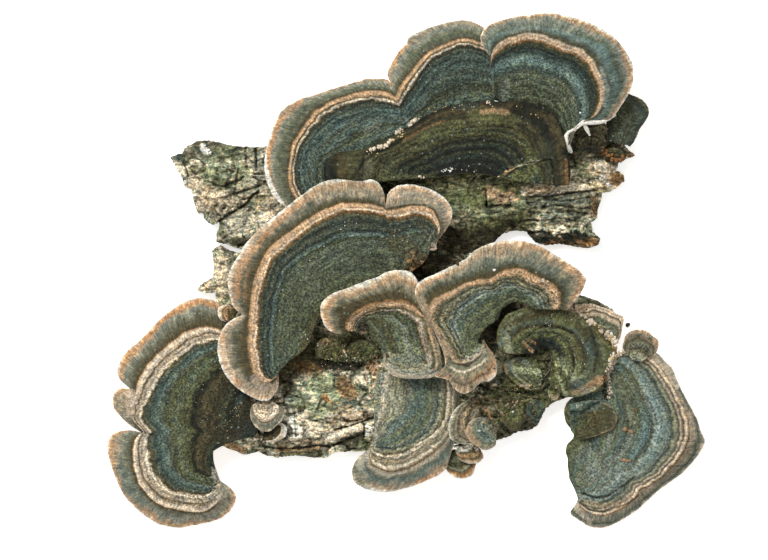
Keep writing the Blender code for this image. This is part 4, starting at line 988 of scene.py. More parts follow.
TOP_LEFT_MARKS = (
    ("haze", 0.5, 5, (412, 37), (440, 27), (470, 23), (484, 32)),
    # The cream at the lower left rim is partly a painted highlight where the light catches it, partly its own
    # pale edge.
    ("copper", 0.6, 2.5, (390, 64), (399, 52), (405, 44)), ("cream", 0.6, 3, (287, 213), (275, 200)),
    ("mist", 0.6, 2, (410, 128), (406, 119)), ("bog", 0.7, 6, (440, 115), (462, 109)),
    ("haze", 0.35, 5, (368, 131), (376, 127)), ("ink", 0.35, 20, (440, 84), (470, 72)),
    ("bog", 0.3, 8, (350, 112), (372, 104)),
    ("copper", 0.4, 2.5, (268, 180), (269, 150), (279, 122), (301, 102)),
    # The chalk line along the left rim is partly a painted highlight from the upper left, partly the rim's
    # own pale edge.
    ("chalk", 0.85, 2.2, (264, 150), (266, 172), (272, 188), (280, 202), (287, 211)),
)
TOP_RIGHT_ROWS = (
    (491, 58, 490.5, 60, 493, 100), (485, 51, 492, 54, 497, 101), (480, 42, 495, 48.5, 501, 102),
    (482, 31, 500, 44, 506, 103), (492, 23, 508, 39.5, 511, 104), (507, 18.5, 518, 36.5, 517, 104),
    (525, 15, 530, 34.5, 523, 104), (545, 13, 542, 36, 529, 105), (565, 15, 553, 41.5, 535, 106),
    (583, 20, 565, 45.5, 540, 107), (599, 27, 577, 49, 545, 109), (614, 37, 587, 56, 549, 112),
    (625, 50, 594, 66, 552, 115), (632, 63, 599, 76, 555, 119), (633.5, 77, 602.5, 86, 557, 123),
    (630, 91, 603, 97, 559, 127), (622, 105, 600, 107, 561, 130), (613, 117, 595, 115, 562, 133),
    (602, 123, 589, 119, 563, 136), (590, 123, 581, 122, 564, 139), (576, 131, 572, 131, 564, 143),
    (570, 151, 568, 146, 563, 147),
)
TOP_RIGHT_BANDS = (
    ("pitch", 0, 0), ("bog", 0, 0.06), ("sage", 0.03, 0.11), ("bog", 0, 0.15), ("sage", 0.05, 0.2),
    ("bog", -0.02, 0.25), ("sage", 0.05, 0.3), ("dusk", -0.02, 0.35), ("sage", 0.05, 0.41, 0.41, 0.4, 0.36),
    ("dusk", 0, 0.46, 0.46, 0.44, 0.4), ("slate", 0, 0.53, 0.52, 0.48, 0.44),
    ("steel", 0.04, 0.58, 0.58, 0.53, 0.48), ("rain", 0.06, 0.64, 0.635, 0.57, 0.52),
    ("steel", 0, 0.69, 0.68, 0.61, 0.56), ("slate", -0.03, 0.73, 0.73, 0.68, 0.66),
    ("ink", -0.04, 0.8, 0.8, 0.79, 0.78), ("bog", 0, 0.855), ("umber", 0.05, 0.885), ("rust", 0.15, 0.91),
    ("shell", 0.26, 0.94), ("tan", 0.22, 0.965), ("shell", 0.26, 0.995), ("taupe", 0.15, 1.03),
    ("umber", 0, 1.065), ("dusk", 0, 1.17), ("rain", 0.04, 1.38, 1.36, 1.32, 1.3),
    ("sage", 0, 1.52, 1.5, 1.54, 1.6), ("haze", 0, 1.68), ("taupe", 0.03, 1.83), ("tan", 0.05, 1.92),
    ("cream", 0.03, 1.98), ("chalk", 0, 2.03),
)
TOP_RIGHT_MARKS = (
    ("haze", 0.5, 6, (510, 28), (545, 24), (565, 28)), ("slate", 0.4, 6, (612, 58), (619, 80), (613, 98)),
    ("mist", 0.6, 2.2, (600, 68), (605, 80), (607, 92), (604, 105)),
    ("mist", 0.5, 1.6, (573, 34), (577, 42)), ("haze", 0.5, 4, (490, 35), (497, 28)),
    ("haze", 0.5, 5, (503, 98), (505, 85)),
)
add_cap("cap_top_left", TOP_LEFT_ROWS, TOP_LEFT_BANDS, TOP_LEFT_MARKS)
add_cap("cap_top_right", TOP_RIGHT_ROWS, TOP_RIGHT_BANDS, TOP_RIGHT_MARKS)

# The old cap under the top caps
# Last year's cap, overgrown with moss and algae, dark at the heart and crumbling at the rim. Its lower
# right corner is a broken piece that hangs on by a crack.
OLD_UPPER_ROWS = (
    (328, 184, 363, 184, 440, 177), (325, 172, 361, 173, 443, 176), (328, 160, 364, 163, 446, 175.5),
    (337, 152.5, 374, 155, 449, 175), (354, 150.5, 388, 149, 452, 174.5), (372, 146, 401, 142, 455, 174),
    (390, 137.5, 414, 134, 458, 173.5), (406, 129, 427, 127, 461, 173), (421, 118.5, 440, 122, 464, 173),
    (438, 109.5, 454, 120, 467, 173), (458, 104, 469, 118, 470, 173), (480, 101.5, 485, 117, 473, 173),
    (502, 101, 501, 117, 476, 173), (523, 102, 516, 119, 479, 173.5), (541, 105.5, 528, 124, 482, 174),
    (553, 114, 537, 132, 485, 174.5), (560, 126, 543, 143, 488, 175), (565, 140, 548, 155, 491, 175.5),
    (569, 156, 552, 167, 494, 176), (571, 172, 555, 177, 497, 177), (569, 186, 553, 186, 500, 179),
)
# The dark rim is partly the old cap's own flesh, partly painted shadow in the crack under the top caps.
OLD_UPPER_BANDS = (
    ("pitch", 0, 0), ("pitch", 0, 0.1), ("ink", 0, 0.17), ("pitch", -0.03, 0.22), ("ink", 0, 0.31),
    ("bog", 0.03, 0.36), ("pitch", -0.04, 0.42), ("ink", 0.03, 0.47), ("bog", 0.05, 0.52),
    ("pitch", -0.02, 0.57), ("bog", 0.04, 0.62), ("peat", -0.03, 0.66), ("olive", 0.06, 0.7),
    ("bog", -0.02, 0.74), ("olive", 0.06, 0.79), ("peat", -0.04, 0.83), ("olive", 0.06, 0.88),
    ("peat", -0.04, 0.91), ("olive", 0.08, 0.95), ("umber", 0.05, 0.98), ("peat", -0.1, 1.03),
    ("bog", 0.03, 1.12), ("peat", 0, 1.3), ("umber", 0.05, 1.5), ("peat", -0.08, 1.7), ("pitch", 0, 2),
)
OLD_UPPER_FOLDS = (
    (-1.2, 1.0, (548, 160), (540, 162), (530, 163), (520, 164), (508, 170)),
    (0.5, 2.0, (506, 172), (515, 166), (528, 162), (537, 161)),
    (-0.8, 1.2, (551, 160), (553, 172), (555, 185)), (-0.5, 1.0, (352, 180), (366, 160), (384, 150)),
    (-0.4, 0.9, (372, 182), (384, 165), (400, 152)),
)
OLD_UPPER_MARKS = (
    ("olive", 0.5, 8, (352, 156), (375, 148), (398, 137)),
    ("moss", 0.6, 6, (474, 116), (500, 118), (514, 120)),
    ("tan", 0.5, 3, (482, 112), (496, 111), (506, 113)),
    ("rust", 0.4, 1.2, (402, 141), (416, 133), (430, 126), (444, 121)),
    ("olive", 0.6, 7, (372, 174), (400, 180), (432, 181)), ("moss", 0.5, 6, (505, 180), (518, 186)),
    # A painted shadow in the crack along the seam with the top left cap.
    ("pitch", 0.8, 2.2, (366, 153), (380, 151), (392, 146), (402, 138)),
    # The ink line is a painted shadow in the crack at the seam with the top left cap.
    ("ink", 0.85, 4, (327, 158), (326, 184)), ("pitch", 0.5, 3, (335, 156), (334, 182)),
    ("umber", 0.5, 3, (341, 155), (340, 180)), ("olive", 0.5, 5, (352, 156), (351, 178)),
    ("pitch", 0.8, 1.5, (363, 156), (362, 176)), ("ash", 0.4, 4, (369, 160), (368, 174)),
    ("moss", 0.4, 5, (420, 138), (440, 130), (458, 124)),
    ("pitch", 0.6, 4, (520, 126), (534, 138), (544, 156)), ("slate", 0.5, 3, (455, 108), (476, 106)),
    ("pitch", 0.8, 5, (516, 110), (531, 116), (543, 128), (551, 142)),
    ("umber", 0.7, 4, (552, 116), (559, 130), (564, 144)), ("bog", 0.6, 9, (548, 150), (550, 170)),
    ("umber", 0.8, 5, (562, 160), (563, 188)), ("rust", 0.6, 1.6, (566, 160), (567, 186)),
    ("peat", 0.8, 1.8, (558, 162), (559, 186)), ("slate", 0.6, 3, (535, 172), (536, 184)),
    ("stone", 0.75, 1.5, (506, 172), (516, 166), (528, 163), (540, 161)),
    ("tan", 0.6, 1.6, (505, 173), (513, 168)), ("moss", 0.7, 6, (516, 177), (528, 176), (532, 170)),
    ("bog", 0.5, 5, (360, 168), (368, 176)), ("moss", 0.5, 3, (528, 152), (533, 160)),
)
add_cap(
    "old_cap_upper", OLD_UPPER_ROWS, OLD_UPPER_BANDS, OLD_UPPER_MARKS, OLD_UPPER_FOLDS,
    rough=0.35,
)

# The caps at the lower left
# A broad two-lobed cap that hangs over the bark's end, and three little ones beside it. All are the same
# leathery flesh, palest at the last growth line.
LOWER_LEFT_ROWS = (
    (232, 318, 236, 335, 250, 398), (217, 302, 222, 331, 250, 400), (207, 298.5, 211, 328, 251, 402),
    (196, 297.5, 200, 328, 251, 404), (183, 302, 189, 332, 252, 406), (170, 310, 178, 338.5, 252, 408),
    (158, 320, 168, 346, 253, 410), (148, 331, 159, 354, 253, 412), (137, 342, 151, 362, 254, 414),
    (126, 351, 145, 371, 254, 416), (119, 362, 140, 380, 255, 418), (116, 372, 137.5, 388, 255, 420),
    (120, 381, 136, 393, 256, 422), (130, 388.5, 135, 397, 256, 424), (119, 388, 133, 401, 256.5, 425),
    (112, 396, 132, 405, 257, 426), (112, 407, 131.5, 410, 257, 428), (119, 416.5, 132, 417, 257, 430),
    (129, 426, 136, 424, 257, 431), (140, 433, 143, 432, 257, 432), (130, 430.5, 139, 434.5, 257, 433),
    (116, 432, 135.5, 440, 256, 434.5), (107, 440, 134, 448, 253, 436.5),
    (106.5, 453, 133.5, 457, 248, 438), (110, 468, 134.5, 468, 242, 439), (116, 483, 138, 480, 237, 440),
    (124, 498, 144, 490, 232, 440.5), (135, 509.5, 151, 498.5, 227, 441), (147, 519, 160, 505, 222, 441.5),
    (160, 526, 170, 508, 218, 443), (177, 529, 181, 510.5, 215, 446), (194, 526.5, 193, 512.5, 213.5, 449),
    (209, 523.5, 203, 511.5, 213, 452), (222, 518.5, 212, 507, 213, 455), (232, 509, 219, 500, 213, 458),
    (236, 499, 223, 493, 213, 461), (232, 490, 222, 487, 213, 464), (223, 483.5, 218, 482, 213, 467),
    (214, 477, 213.5, 476, 212.5, 471),
)
LOWER_LEFT_BANDS = (
    ("pitch", 0, 0), ("ink", 0, 0.1), ("slate", 0, 0.15), ("pitch", 0, 0.2), ("bog", 0, 0.27),
    ("peat", 0, 0.34), ("umber", 0.03, 0.43, 0.43, 0.44, 0.45, 0.4, 0.36, 0.34),
    ("pitch", -0.05, 0.5, 0.49, 0.5, 0.5, 0.44, 0.4, 0.38),
    ("olive", 0.04, 0.56, 0.56, 0.57, 0.58, 0.5, 0.44, 0.42),
    ("sage", 0, 0.62, 0.63, 0.64, 0.66, 0.56, 0.48, 0.46),
    ("olive", 0, 0.67, 0.68, 0.7, 0.71, 0.6, 0.52, 0.5),
    ("dusk", -0.03, 0.7, 0.73, 0.74, 0.75, 0.64, 0.56, 0.53),
    ("steel", 0.05, 0.73, 0.76, 0.78, 0.8, 0.68, 0.6, 0.56),
    ("slate", -0.05, 0.76, 0.79, 0.83, 0.85, 0.74, 0.64, 0.6),
    ("dusk", 0, 0.79, 0.82, 0.86, 0.89, 0.78, 0.68, 0.63),
    ("umber", 0, 0.81, 0.84, 0.88, 0.92, 0.82, 0.71, 0.66),
    ("cream", 0.22, 0.835, 0.865, 0.9, 0.94, 0.86, 0.76, 0.7),
    ("taupe", 0, 0.86, 0.885, 0.92, 0.955, 0.89, 0.8, 0.75),
    ("shell", 0.1, 0.9, 0.91, 0.94, 0.97, 0.915, 0.84, 0.8),
    ("umber", 0.05, 0.925, 0.93, 0.955, 0.98, 0.935, 0.875, 0.85),
    ("shell", 0.28, 0.95, 0.95, 0.97, 0.99, 0.96, 0.93, 0.92),
    ("cream", 0.28, 0.975, 0.975, 0.99, 1.0, 0.99, 0.98, 0.98),
    ("tan", 0.2, 1.0, 1.01, 1.03, 1.03, 1.02, 1.02, 1.04),
    ("umber", -0.1, 1.05, 1.06, 1.08, 1.07, 1.07, 1.06, 1.08),
    ("umber", 0, 1.2, 1.16, 1.14, 1.12, 1.1, 1.08, 1.1),
    ("smoke", 0, 1.4, 1.34, 1.3, 1.2, 1.16, 1.14, 1.14),
    ("ash", 0, 1.54, 1.48, 1.42, 1.36, 1.32, 1.3, 1.26),
    ("haze", 0, 1.64, 1.62, 1.6, 1.56, 1.54, 1.54, 1.5), ("fawn", 0.03, 1.78), ("tan", 0.05, 1.87),
    ("peach", 0.06, 1.94), ("cream", 0.02, 2.0),
)
LOWER_LEFT_MARKS = (
    ("copper", 0.5, 3.5, (214, 304), (196, 300), (184, 305), (171, 313), (159, 323), (149, 333), (127, 353),
     (121, 362)),
    ("steel", 0.35, 6, (120, 470), (128, 488), (142, 504)),
    ("shell", 0.8, 5, (131, 394), (130, 404), (130, 414)), ("fawn", 0.6, 5, (122, 400), (121, 410)),
    ("taupe", 0.5, 4, (190, 520), (210, 517), (226, 502)),
    ("peat", 0.8, 10, (250, 404), (244, 420), (230, 438)),
    ("ink", 0.8, 6, (258, 402), (257, 420), (246, 434)),
    ("bark", 0.7, 7, (218, 474), (224, 484), (220, 494)), ("tan", 0.5, 2.5, (231, 324), (226, 312)),
)
LOWER_LEFT_FOLDS = ((-0.7, 0.9, (140, 432), (148, 434), (156, 437)),)
LEFT_BIT_HEART = ((238, 311), (235, 319))
LEFT_BIT_RIM = ((230, 305), (222, 305), (217, 310), (219, 319), (226, 323))
SMALL_LEFT_HEART = ((258, 400), (271, 400))
SMALL_LEFT_RIM = (
    (251, 406), (250, 417), (255, 427), (263, 432), (271, 431), (278, 425), (284, 418), (283, 408),
)
SMALL_LEFT_BACK_HEART = ((262, 436), (267, 426))
SMALL_LEFT_BACK_RIM = ((266, 443), (277, 442), (286, 436), (287, 427), (280, 422))
SMALL_LEFT_BANDS = (
    ("umber", 0, 0), ("shell", 0.1, 0.25), ("taupe", 0, 0.42), ("shell", 0.15, 0.6), ("cream", 0.25, 0.8),
    ("shell", 0.1, 0.95), ("umber", -0.1, 1.04), ("taupe", 0.1, 1.16), ("haze", 0, 1.4), ("ash", 0, 1.62),
    ("taupe", 0, 1.8), ("cream", 0, 2),
)
LEFT_BACK_BANDS = (
    ("pitch", 0, 0), ("peat", 0, 0.5), ("umber", 0, 0.85), ("peat", -0.1, 1.02), ("cream", 0.3, 1.2),
    ("shell", 0.2, 1.5), ("chalk", 0, 2),
)
LEFT_BIT_BANDS = (
    ("umber", 0, 0), ("umber", 0, 0.6), ("tan", 0, 0.95), ("umber", 0, 1.1), ("fawn", 0, 1.4),
    ("shell", 0, 1.75), ("cream", 0, 2),
)
add_cap(
    "cap_small_left_back", fan_rows(SMALL_LEFT_BACK_HEART, SMALL_LEFT_BACK_RIM), LEFT_BACK_BANDS,
)
add_cap("cap_lower_left", LOWER_LEFT_ROWS, LOWER_LEFT_BANDS, LOWER_LEFT_MARKS, LOWER_LEFT_FOLDS)
add_cap("cap_small_left", fan_rows(SMALL_LEFT_HEART, SMALL_LEFT_RIM), SMALL_LEFT_BANDS)
add_cap("cap_left_bit", fan_rows(LEFT_BIT_HEART, LEFT_BIT_RIM), LEFT_BIT_BANDS)

# The caps at the bottom
# One fan that hangs over the lower bark's edge, and four little crowded ones at its right.
BOTTOM_ROWS = (
    (372, 447, 371, 447, 374, 440), (362, 454, 369.5, 453, 374, 436), (354, 463, 371, 461, 374, 432),
    (351, 473, 376, 467, 374, 428), (354, 483, 383, 470, 374, 424), (363, 489, 391, 471.5, 374, 420),
    (375, 492, 399, 470.5, 374, 416), (388, 493, 407, 468.5, 374, 413), (402, 490, 415, 464.5, 374, 410),
    (416, 486, 423, 459.5, 374, 407), (430, 480, 431, 454, 374, 404), (441, 474.5, 439, 447, 374, 401),
    (447, 468, 446, 440, 374, 398), (450, 458, 451, 431, 374, 395), (454, 445, 454, 420, 374, 391),
    (457, 428, 455, 408, 374, 387), (459, 410, 455, 396, 375, 383), (460, 392, 455, 384, 376, 378),
    (460, 376, 455, 372, 378, 371),
)
BOTTOM_BANDS = (
    ("stone", 0.08, 0), ("haze", 0, 0.08), ("bark", 0.06, 0.14), ("ash", 0, 0.2),
    ("stone", 0.06, 0.25, 0.25, 0.27, 0.3, 0.3, 0.3), ("ash", 0, 0.3, 0.3, 0.34, 0.38, 0.4, 0.4),
    ("haze", 0.04, 0.34, 0.34, 0.4, 0.45, 0.47, 0.47), ("fern", 0, 0.37, 0.38, 0.45, 0.52, 0.54, 0.54),
    ("steel", 0.03, 0.39, 0.42, 0.52, 0.6, 0.62, 0.62), ("fern", 0, 0.4, 0.44, 0.57, 0.66, 0.69, 0.69),
    ("haze", 0.03, 0.42, 0.46, 0.6, 0.7, 0.73, 0.73), ("slate", -0.1, 0.44, 0.49, 0.64, 0.745, 0.78, 0.78),
    ("stone", 0.05, 0.48, 0.54, 0.68, 0.775, 0.82, 0.82), ("ash", 0, 0.52, 0.59, 0.71, 0.79, 0.85, 0.85),
    ("umber", -0.04, 0.56, 0.63, 0.745, 0.805, 0.88, 0.87),
    ("cream", 0.18, 0.62, 0.675, 0.785, 0.84, 0.92, 0.9),
    ("ash", -0.02, 0.66, 0.71, 0.81, 0.865, 0.935, 0.92),
    ("fawn", 0.05, 0.74, 0.78, 0.86, 0.89, 0.95, 0.94), ("ash", 0, 0.82, 0.86, 0.9, 0.92, 0.96, 0.96),
    ("cream", 0.15, 0.9, 0.92, 0.945, 0.95, 0.97, 0.975), ("fawn", 0.15, 0.975), ("umber", -0.1, 1.01),
    ("fawn", 0.03, 1.07), ("bark", 0.02, 1.18), ("ash", 0, 1.32), ("steel", 0.02, 1.46, 1.46, 1.46, 1.44),
    ("haze", 0, 1.6), ("taupe", 0.03, 1.74), ("fawn", 0.04, 1.86), ("cream", 0.04, 1.95),
    ("chalk", 0, 2.02),
)
BOTTOM_MARKS = (
    ("copper", 0.6, 2.8, (418, 483), (432, 478), (440, 473)),
    ("haze", 0.6, 5, (358, 466), (357, 476), (366, 487)), ("bark", 0.4, 7, (388, 396), (392, 404)),
    ("stone", 0.45, 4, (456, 430), (458, 410), (458, 390)),
    ("bark", 0.6, 5, (373, 432), (370, 444), (362, 456), (360, 466)),
    ("fern", 0.4, 10, (420, 400), (430, 385)), ("fern", 0.35, 5, (440, 440), (446, 420), (448, 400)),
    ("stone", 0.6, 5, (390, 396), (394, 402), (390, 408)),
    ("umber", 0.4, 1.5, (404, 384), (408, 400), (403, 414)),
    ("steel", 0.8, 5, (416, 380), (419, 392), (417, 404), (408, 417), (392, 427)),
    ("umber", 0.4, 1.5, (431, 378), (434, 396), (431, 412), (420, 426)),
    ("cream", 0.8, 1.2, (448, 386), (448, 402), (447, 416), (441, 428), (430, 438), (415, 446)),
)
BOTTOM_LOBE_HEART = ((445, 452), (462, 448))
BOTTOM_LOBE_RIM = ((443, 466), (449, 474), (457, 479), (467, 479), (474, 474), (477, 464))
BOTTOM_CHIP_HEART = ((453, 446), (470, 441))
BOTTOM_CHIP_RIM = ((457, 455), (459, 460), (467, 464), (478, 464), (484, 458), (481, 449))
BOTTOM_SIDE_HEART = ((480, 408), (483, 434))
BOTTOM_SIDE_RIM = (
    (472, 401), (462, 403), (454, 410), (449, 420), (448, 431), (451, 440), (461, 444), (473, 445),
)
BOTTOM_FRONT_HEART = ((489, 417), (497, 430))
BOTTOM_FRONT_RIM = (
    (479, 417), (471, 420), (466, 427), (466, 435), (470, 442), (478, 448), (487, 450.5), (496, 446),
)
LOBE_BANDS = (
    ("peat", 0, 0), ("sage", 0, 0.5), ("umber", 0, 0.9), ("stone", 0.1, 1.0), ("smoke", 0, 1.2),
    ("rust", 0, 1.5), ("tan", 0.05, 1.75), ("cream", 0, 2),
)
SIDE_BANDS = (
    ("umber", 0, 0), ("taupe", 0, 0.35), ("umber", -0.05, 0.6), ("fawn", 0.05, 0.85),
    ("umber", -0.05, 1.05), ("taupe", 0.05, 1.3), ("smoke", 0, 1.5), ("stone", 0.05, 1.75),
    ("bark", 0.05, 1.9), ("chalk", 0, 2),
)
FRONT_MARKS = (
    ("tan", 0.6, 4, (467, 426), (469, 436), (476, 446)), ("steel", 0.6, 5, (479, 430), (487, 438)),
)
FRONT_BANDS = (
    ("umber", 0, 0), ("ash", 0, 0.35), ("haze", 0.05, 0.75), ("ash", 0, 1.1), ("stone", 0, 1.35),
    ("taupe", 0.05, 1.55), ("shell", 0.1, 1.75), ("bark", 0.05, 1.9), ("cream", 0, 2),
)
CHIP_BANDS = (
    ("peat", 0, 0), ("chalk", 0.1, 0.4), ("olive", 0, 0.7), ("tan", 0.1, 1.0), ("olive", 0, 1.3),
    ("tan", 0.1, 1.6), ("cream", 0, 2),
)
add_cap("cap_bottom_lobe", fan_rows(BOTTOM_LOBE_HEART, BOTTOM_LOBE_RIM), LOBE_BANDS)
add_cap("cap_bottom", BOTTOM_ROWS, BOTTOM_BANDS, BOTTOM_MARKS, streaked=0.3)
add_cap("cap_bottom_chip", fan_rows(BOTTOM_CHIP_HEART, BOTTOM_CHIP_RIM), CHIP_BANDS)
add_cap("cap_bottom_side", fan_rows(BOTTOM_SIDE_HEART, BOTTOM_SIDE_RIM), SIDE_BANDS)
add_cap(
    "cap_bottom_front", fan_rows(BOTTOM_FRONT_HEART, BOTTOM_FRONT_RIM), FRONT_BANDS,
    FRONT_MARKS,
)

# The caps at the right
# A blue-grey fan that hangs over the table, with a mossy hump on its heart, and two small caps above it.
RIGHT_ROWS = (
    (618, 352, 616, 356, 580, 396), (628, 346, 628, 350, 577, 397), (642, 344.5, 639, 350, 574, 398),
    (655, 350, 649, 356, 571, 399), (665, 360, 657, 364.5, 569, 401), (673, 368, 664, 373, 567, 403),
    (678, 380, 670, 382, 566, 405.5), (684, 393, 676, 393, 565, 408), (691, 406, 682, 405, 564.5, 411),
    (698, 419, 687, 418, 564.5, 414), (702, 432, 688.5, 430, 565, 417), (706, 441, 686.5, 442, 565.5, 420),
    (702, 451, 682, 453, 566.5, 423), (695, 461, 675, 463, 568.5, 426), (685, 472, 667, 472, 571, 429),
    (673, 481.5, 658, 480, 573, 432), (661, 490, 649, 486, 574, 435), (650, 500, 641, 488.5, 573.5, 438),
    (641, 508.5, 637, 496, 571, 441), (630, 516.5, 629, 504, 568, 444), (617, 524, 618, 510.5, 566.5, 448),
    (603, 529, 606, 515, 566, 453), (590, 527.5, 594, 514.5, 568, 459), (579, 521.5, 585, 509.5, 568, 466),
    (570.5, 514, 580.5, 505, 569, 473), (576, 505, 580.5, 500, 570, 480), (581, 494, 580.5, 492, 575, 487),
)
RIGHT_BANDS = (
    ("olive", 0, 0), ("fern", 0.03, 0.12), ("dusk", 0, 0.2), ("steel", 0.03, 0.28), ("fern", 0, 0.33),
    ("haze", 0.04, 0.38), ("fern", 0, 0.43), ("steel", 0.03, 0.47),
    ("dusk", -0.03, 0.51, 0.51, 0.51, 0.49, 0.48), ("haze", 0.05, 0.55, 0.55, 0.55, 0.52, 0.5),
    ("sage", 0, 0.6, 0.6, 0.59, 0.56, 0.53), ("rain", 0.04, 0.65, 0.65, 0.64, 0.6, 0.57),
    ("dusk", -0.04, 0.7, 0.7, 0.7, 0.64, 0.61), ("mist", 0.05, 0.74, 0.75, 0.75, 0.69, 0.65),
    ("rain", 0, 0.78, 0.79, 0.79, 0.74, 0.69), ("haze", 0.07, 0.81, 0.83, 0.83, 0.79, 0.75),
    ("slate", -0.04, 0.85, 0.87, 0.87, 0.83, 0.79), ("stone", 0.08, 0.88, 0.895, 0.895, 0.86, 0.83),
    ("dusk", -0.06, 0.91, 0.92, 0.92, 0.89, 0.87), ("shell", 0.06, 0.935, 0.94, 0.94, 0.92, 0.9),
    ("umber", -0.08, 0.955, 0.96, 0.96, 0.945, 0.93), ("cream", 0.24, 0.98, 0.98, 0.98, 0.97, 0.965),
    ("tan", 0.2, 1.01, 1.01, 0.995, 1.0, 1.0), ("umber", -0.12, 1.03, 1.04, 1.03, 1.03, 1.03),
    ("fawn", 0.03, 1.09, 1.09, 1.14, 1.09, 1.07), ("taupe", 0.04, 1.26), ("taupe", 0, 1.42),
    ("ash", 0, 1.56), ("dusk", 0, 1.68), ("haze", 0, 1.82), ("fawn", 0.03, 1.92), ("cream", 0, 2.0),
)
RIGHT_MARKS = (
    # The first pitch line, along the fold, is a painted shadow under the ledge there.
    ("pitch", 0.8, 1.0, (634, 478), (627, 484), (607, 497), (595, 498), (584, 494)),
    ("olive", 0.45, 11, (626, 380), (634, 402), (632, 424)),
    ("cream", 0.7, 4, (607, 372), (611, 360), (616, 350), (622, 343)),
    ("haze", 0.4, 9, (585, 455), (600, 470), (620, 462)),
    ("cream", 0.5, 5, (620, 349), (634, 347), (648, 350), (661, 360), (670, 372), (678, 384)),
    ("fern", 0.4, 9, (600, 404), (618, 392), (632, 376)),
    ("haze", 0.4, 8, (590, 480), (606, 488), (640, 470)),
    ("umber", 0.4, 3, (686, 452), (679, 462), (669, 472), (657, 482)),
    ("shell", 0.4, 3, (690, 412), (692, 430)), ("steel", 0.85, 7, (572, 398), (588, 396), (603, 398)),
    ("fawn", 0.6, 2.4, (586, 502), (604, 506), (622, 504), (638, 494)),
    ("pitch", 0.75, 0.9, (580, 503), (591, 510), (604, 512), (628, 504), (639, 495)),
    ("haze", 0.5, 3, (586, 515), (602, 520), (622, 516), (640, 504)),
    ("cream", 0.4, 2.5, (576, 505), (580, 514), (590, 522)),
    ("mist", 0.3, 5, (590, 470), (606, 476), (626, 464)),
)
RIGHT_FOLDS = ((-0.7, 1.0, (634, 478), (627, 484), (607, 497), (595, 498), (584, 494)),)
RIGHT_TOP_HEART = ((632, 360), (642, 362))
RIGHT_TOP_RIM = ((622, 348), (625, 336), (632, 330), (643, 329), (652, 334), (659, 341), (658, 351))
RIGHT_HUMP_HEART = ((569, 404), (571, 431))
RIGHT_HUMP_RIM = (
    (588, 400), (601, 401), (612, 408), (618, 418), (614, 428), (603, 434), (590, 438), (578, 440),
)
BACK_RIGHT_HEART = ((586, 347), (611, 352))
BACK_RIGHT_RIM = (
    (556, 313), (566, 307), (578, 304), (591, 303), (604, 307), (615, 312), (624, 317), (623, 327),
    (621, 338),
)
RIGHT_TOP_BANDS = (
    ("haze", 0, 0), ("stone", 0, 0.3), ("umber", 0, 0.55), ("ash", 0, 0.8), ("umber", 0, 1.05),
    ("taupe", 0.05, 1.4), ("tan", 0.05, 1.75), ("blush", 0.03, 1.9), ("cream", 0, 2),
)
HUMP_BANDS = (
    ("slate", 0, 0), ("olive", 0, 0.4), ("umber", 0, 0.8), ("olive", 0, 1.2), ("umber", 0, 1.6),
    ("sage", 0.05, 1.8), ("tan", 0.05, 1.93), ("fawn", 0, 2),
)
HUMP_MARKS = (
    ("steel", 0.8, 9, (572, 404), (592, 402)), ("slate", 0.8, 3, (570, 414), (582, 412), (592, 404)),
)
HUMP_FOLDS = ((-0.6, 1.2, (568, 412), (583, 413), (592, 406), (600, 402)), (0.4, 1.5, (575, 409), (590, 402)))
BACK_RIGHT_BANDS = (
    ("sage", 0, 0), ("dusk", 0, 0.5), ("ash", 0.05, 0.8), ("sage", 0, 1.0), ("blush", 0.1, 1.3),
    ("umber", 0, 1.42), ("cream", 0.15, 1.6), ("tan", 0, 1.72), ("cream", 0.1, 1.85), ("blush", 0, 2),
)
add_cap("cap_right", RIGHT_ROWS, RIGHT_BANDS, RIGHT_MARKS, RIGHT_FOLDS, streaked=0.4)
add_cap("cap_right_top", fan_rows(RIGHT_TOP_HEART, RIGHT_TOP_RIM), RIGHT_TOP_BANDS)
add_cap(
    "cap_right_hump", fan_rows(RIGHT_HUMP_HEART, RIGHT_HUMP_RIM), HUMP_BANDS, HUMP_MARKS,
    HUMP_FOLDS, rough=0.25,
)
add_cap("cap_back_right", fan_rows(BACK_RIGHT_HEART, BACK_RIGHT_RIM), BACK_RIGHT_BANDS)

# The rotten caps at the right end of the lower bark
# Small old caps, soft and crumbling, under moss and algae, with last year's big green one on top of them.
ROT_UPPER_HEART = ((536, 358), (543, 375))
ROT_UPPER_RIM = ((526, 357), (513, 357), (504, 363), (506, 375), (518, 386), (532, 391), (542, 385))
ROT_DARK_HEART = ((535, 399), (545, 403))
ROT_DARK_RIM = ((528, 402), (526, 412), (530, 421), (537, 425), (541, 418), (546, 410))
ROT_BROWN_HEART = ((504, 397), (522, 398))
ROT_BROWN_RIM = ((498, 405), (501, 419), (509, 430), (517, 431), (523, 423), (525, 409))
ROT_BUD_HEART = ((550, 385), (559, 386))
ROT_BUD_RIM = ((548, 391), (549, 398), (553, 401), (559, 398), (561, 390))
ROT_BANDS = (
    ("olive", 0, 0), ("moss", 0, 0.4), ("sage", 0.1, 0.8), ("olive", 0, 1.0), ("stone", 0.1, 1.3),
    ("ink", 0, 1.7), ("moss", 0, 2),
)
ROT_MARKS = (
    ("lichen", 0.75, 3.5, (515, 369), (528, 371), (541, 373)), ("haze", 0.6, 3, (521, 360), (529, 365)),
    ("tan", 0.6, 2, (505, 365), (506, 374)), ("blush", 0.6, 3, (516, 386), (530, 389)),
    ("steel", 0.6, 3, (508, 360), (510, 370)),
)
ROT_DARK_BANDS = (
    ("slate", 0, 0), ("sage", 0, 0.6), ("ink", 0, 1.1), ("steel", 0.1, 1.6), ("ink", 0, 1.8),
    ("smoke", 0, 2),
)
ROT_BROWN_BANDS = (
    ("umber", 0, 0), ("olive", 0, 0.5), ("moss", 0.1, 1.0), ("umber", 0, 1.4), ("olive", 0.05, 1.8),
    ("umber", 0, 2),
)
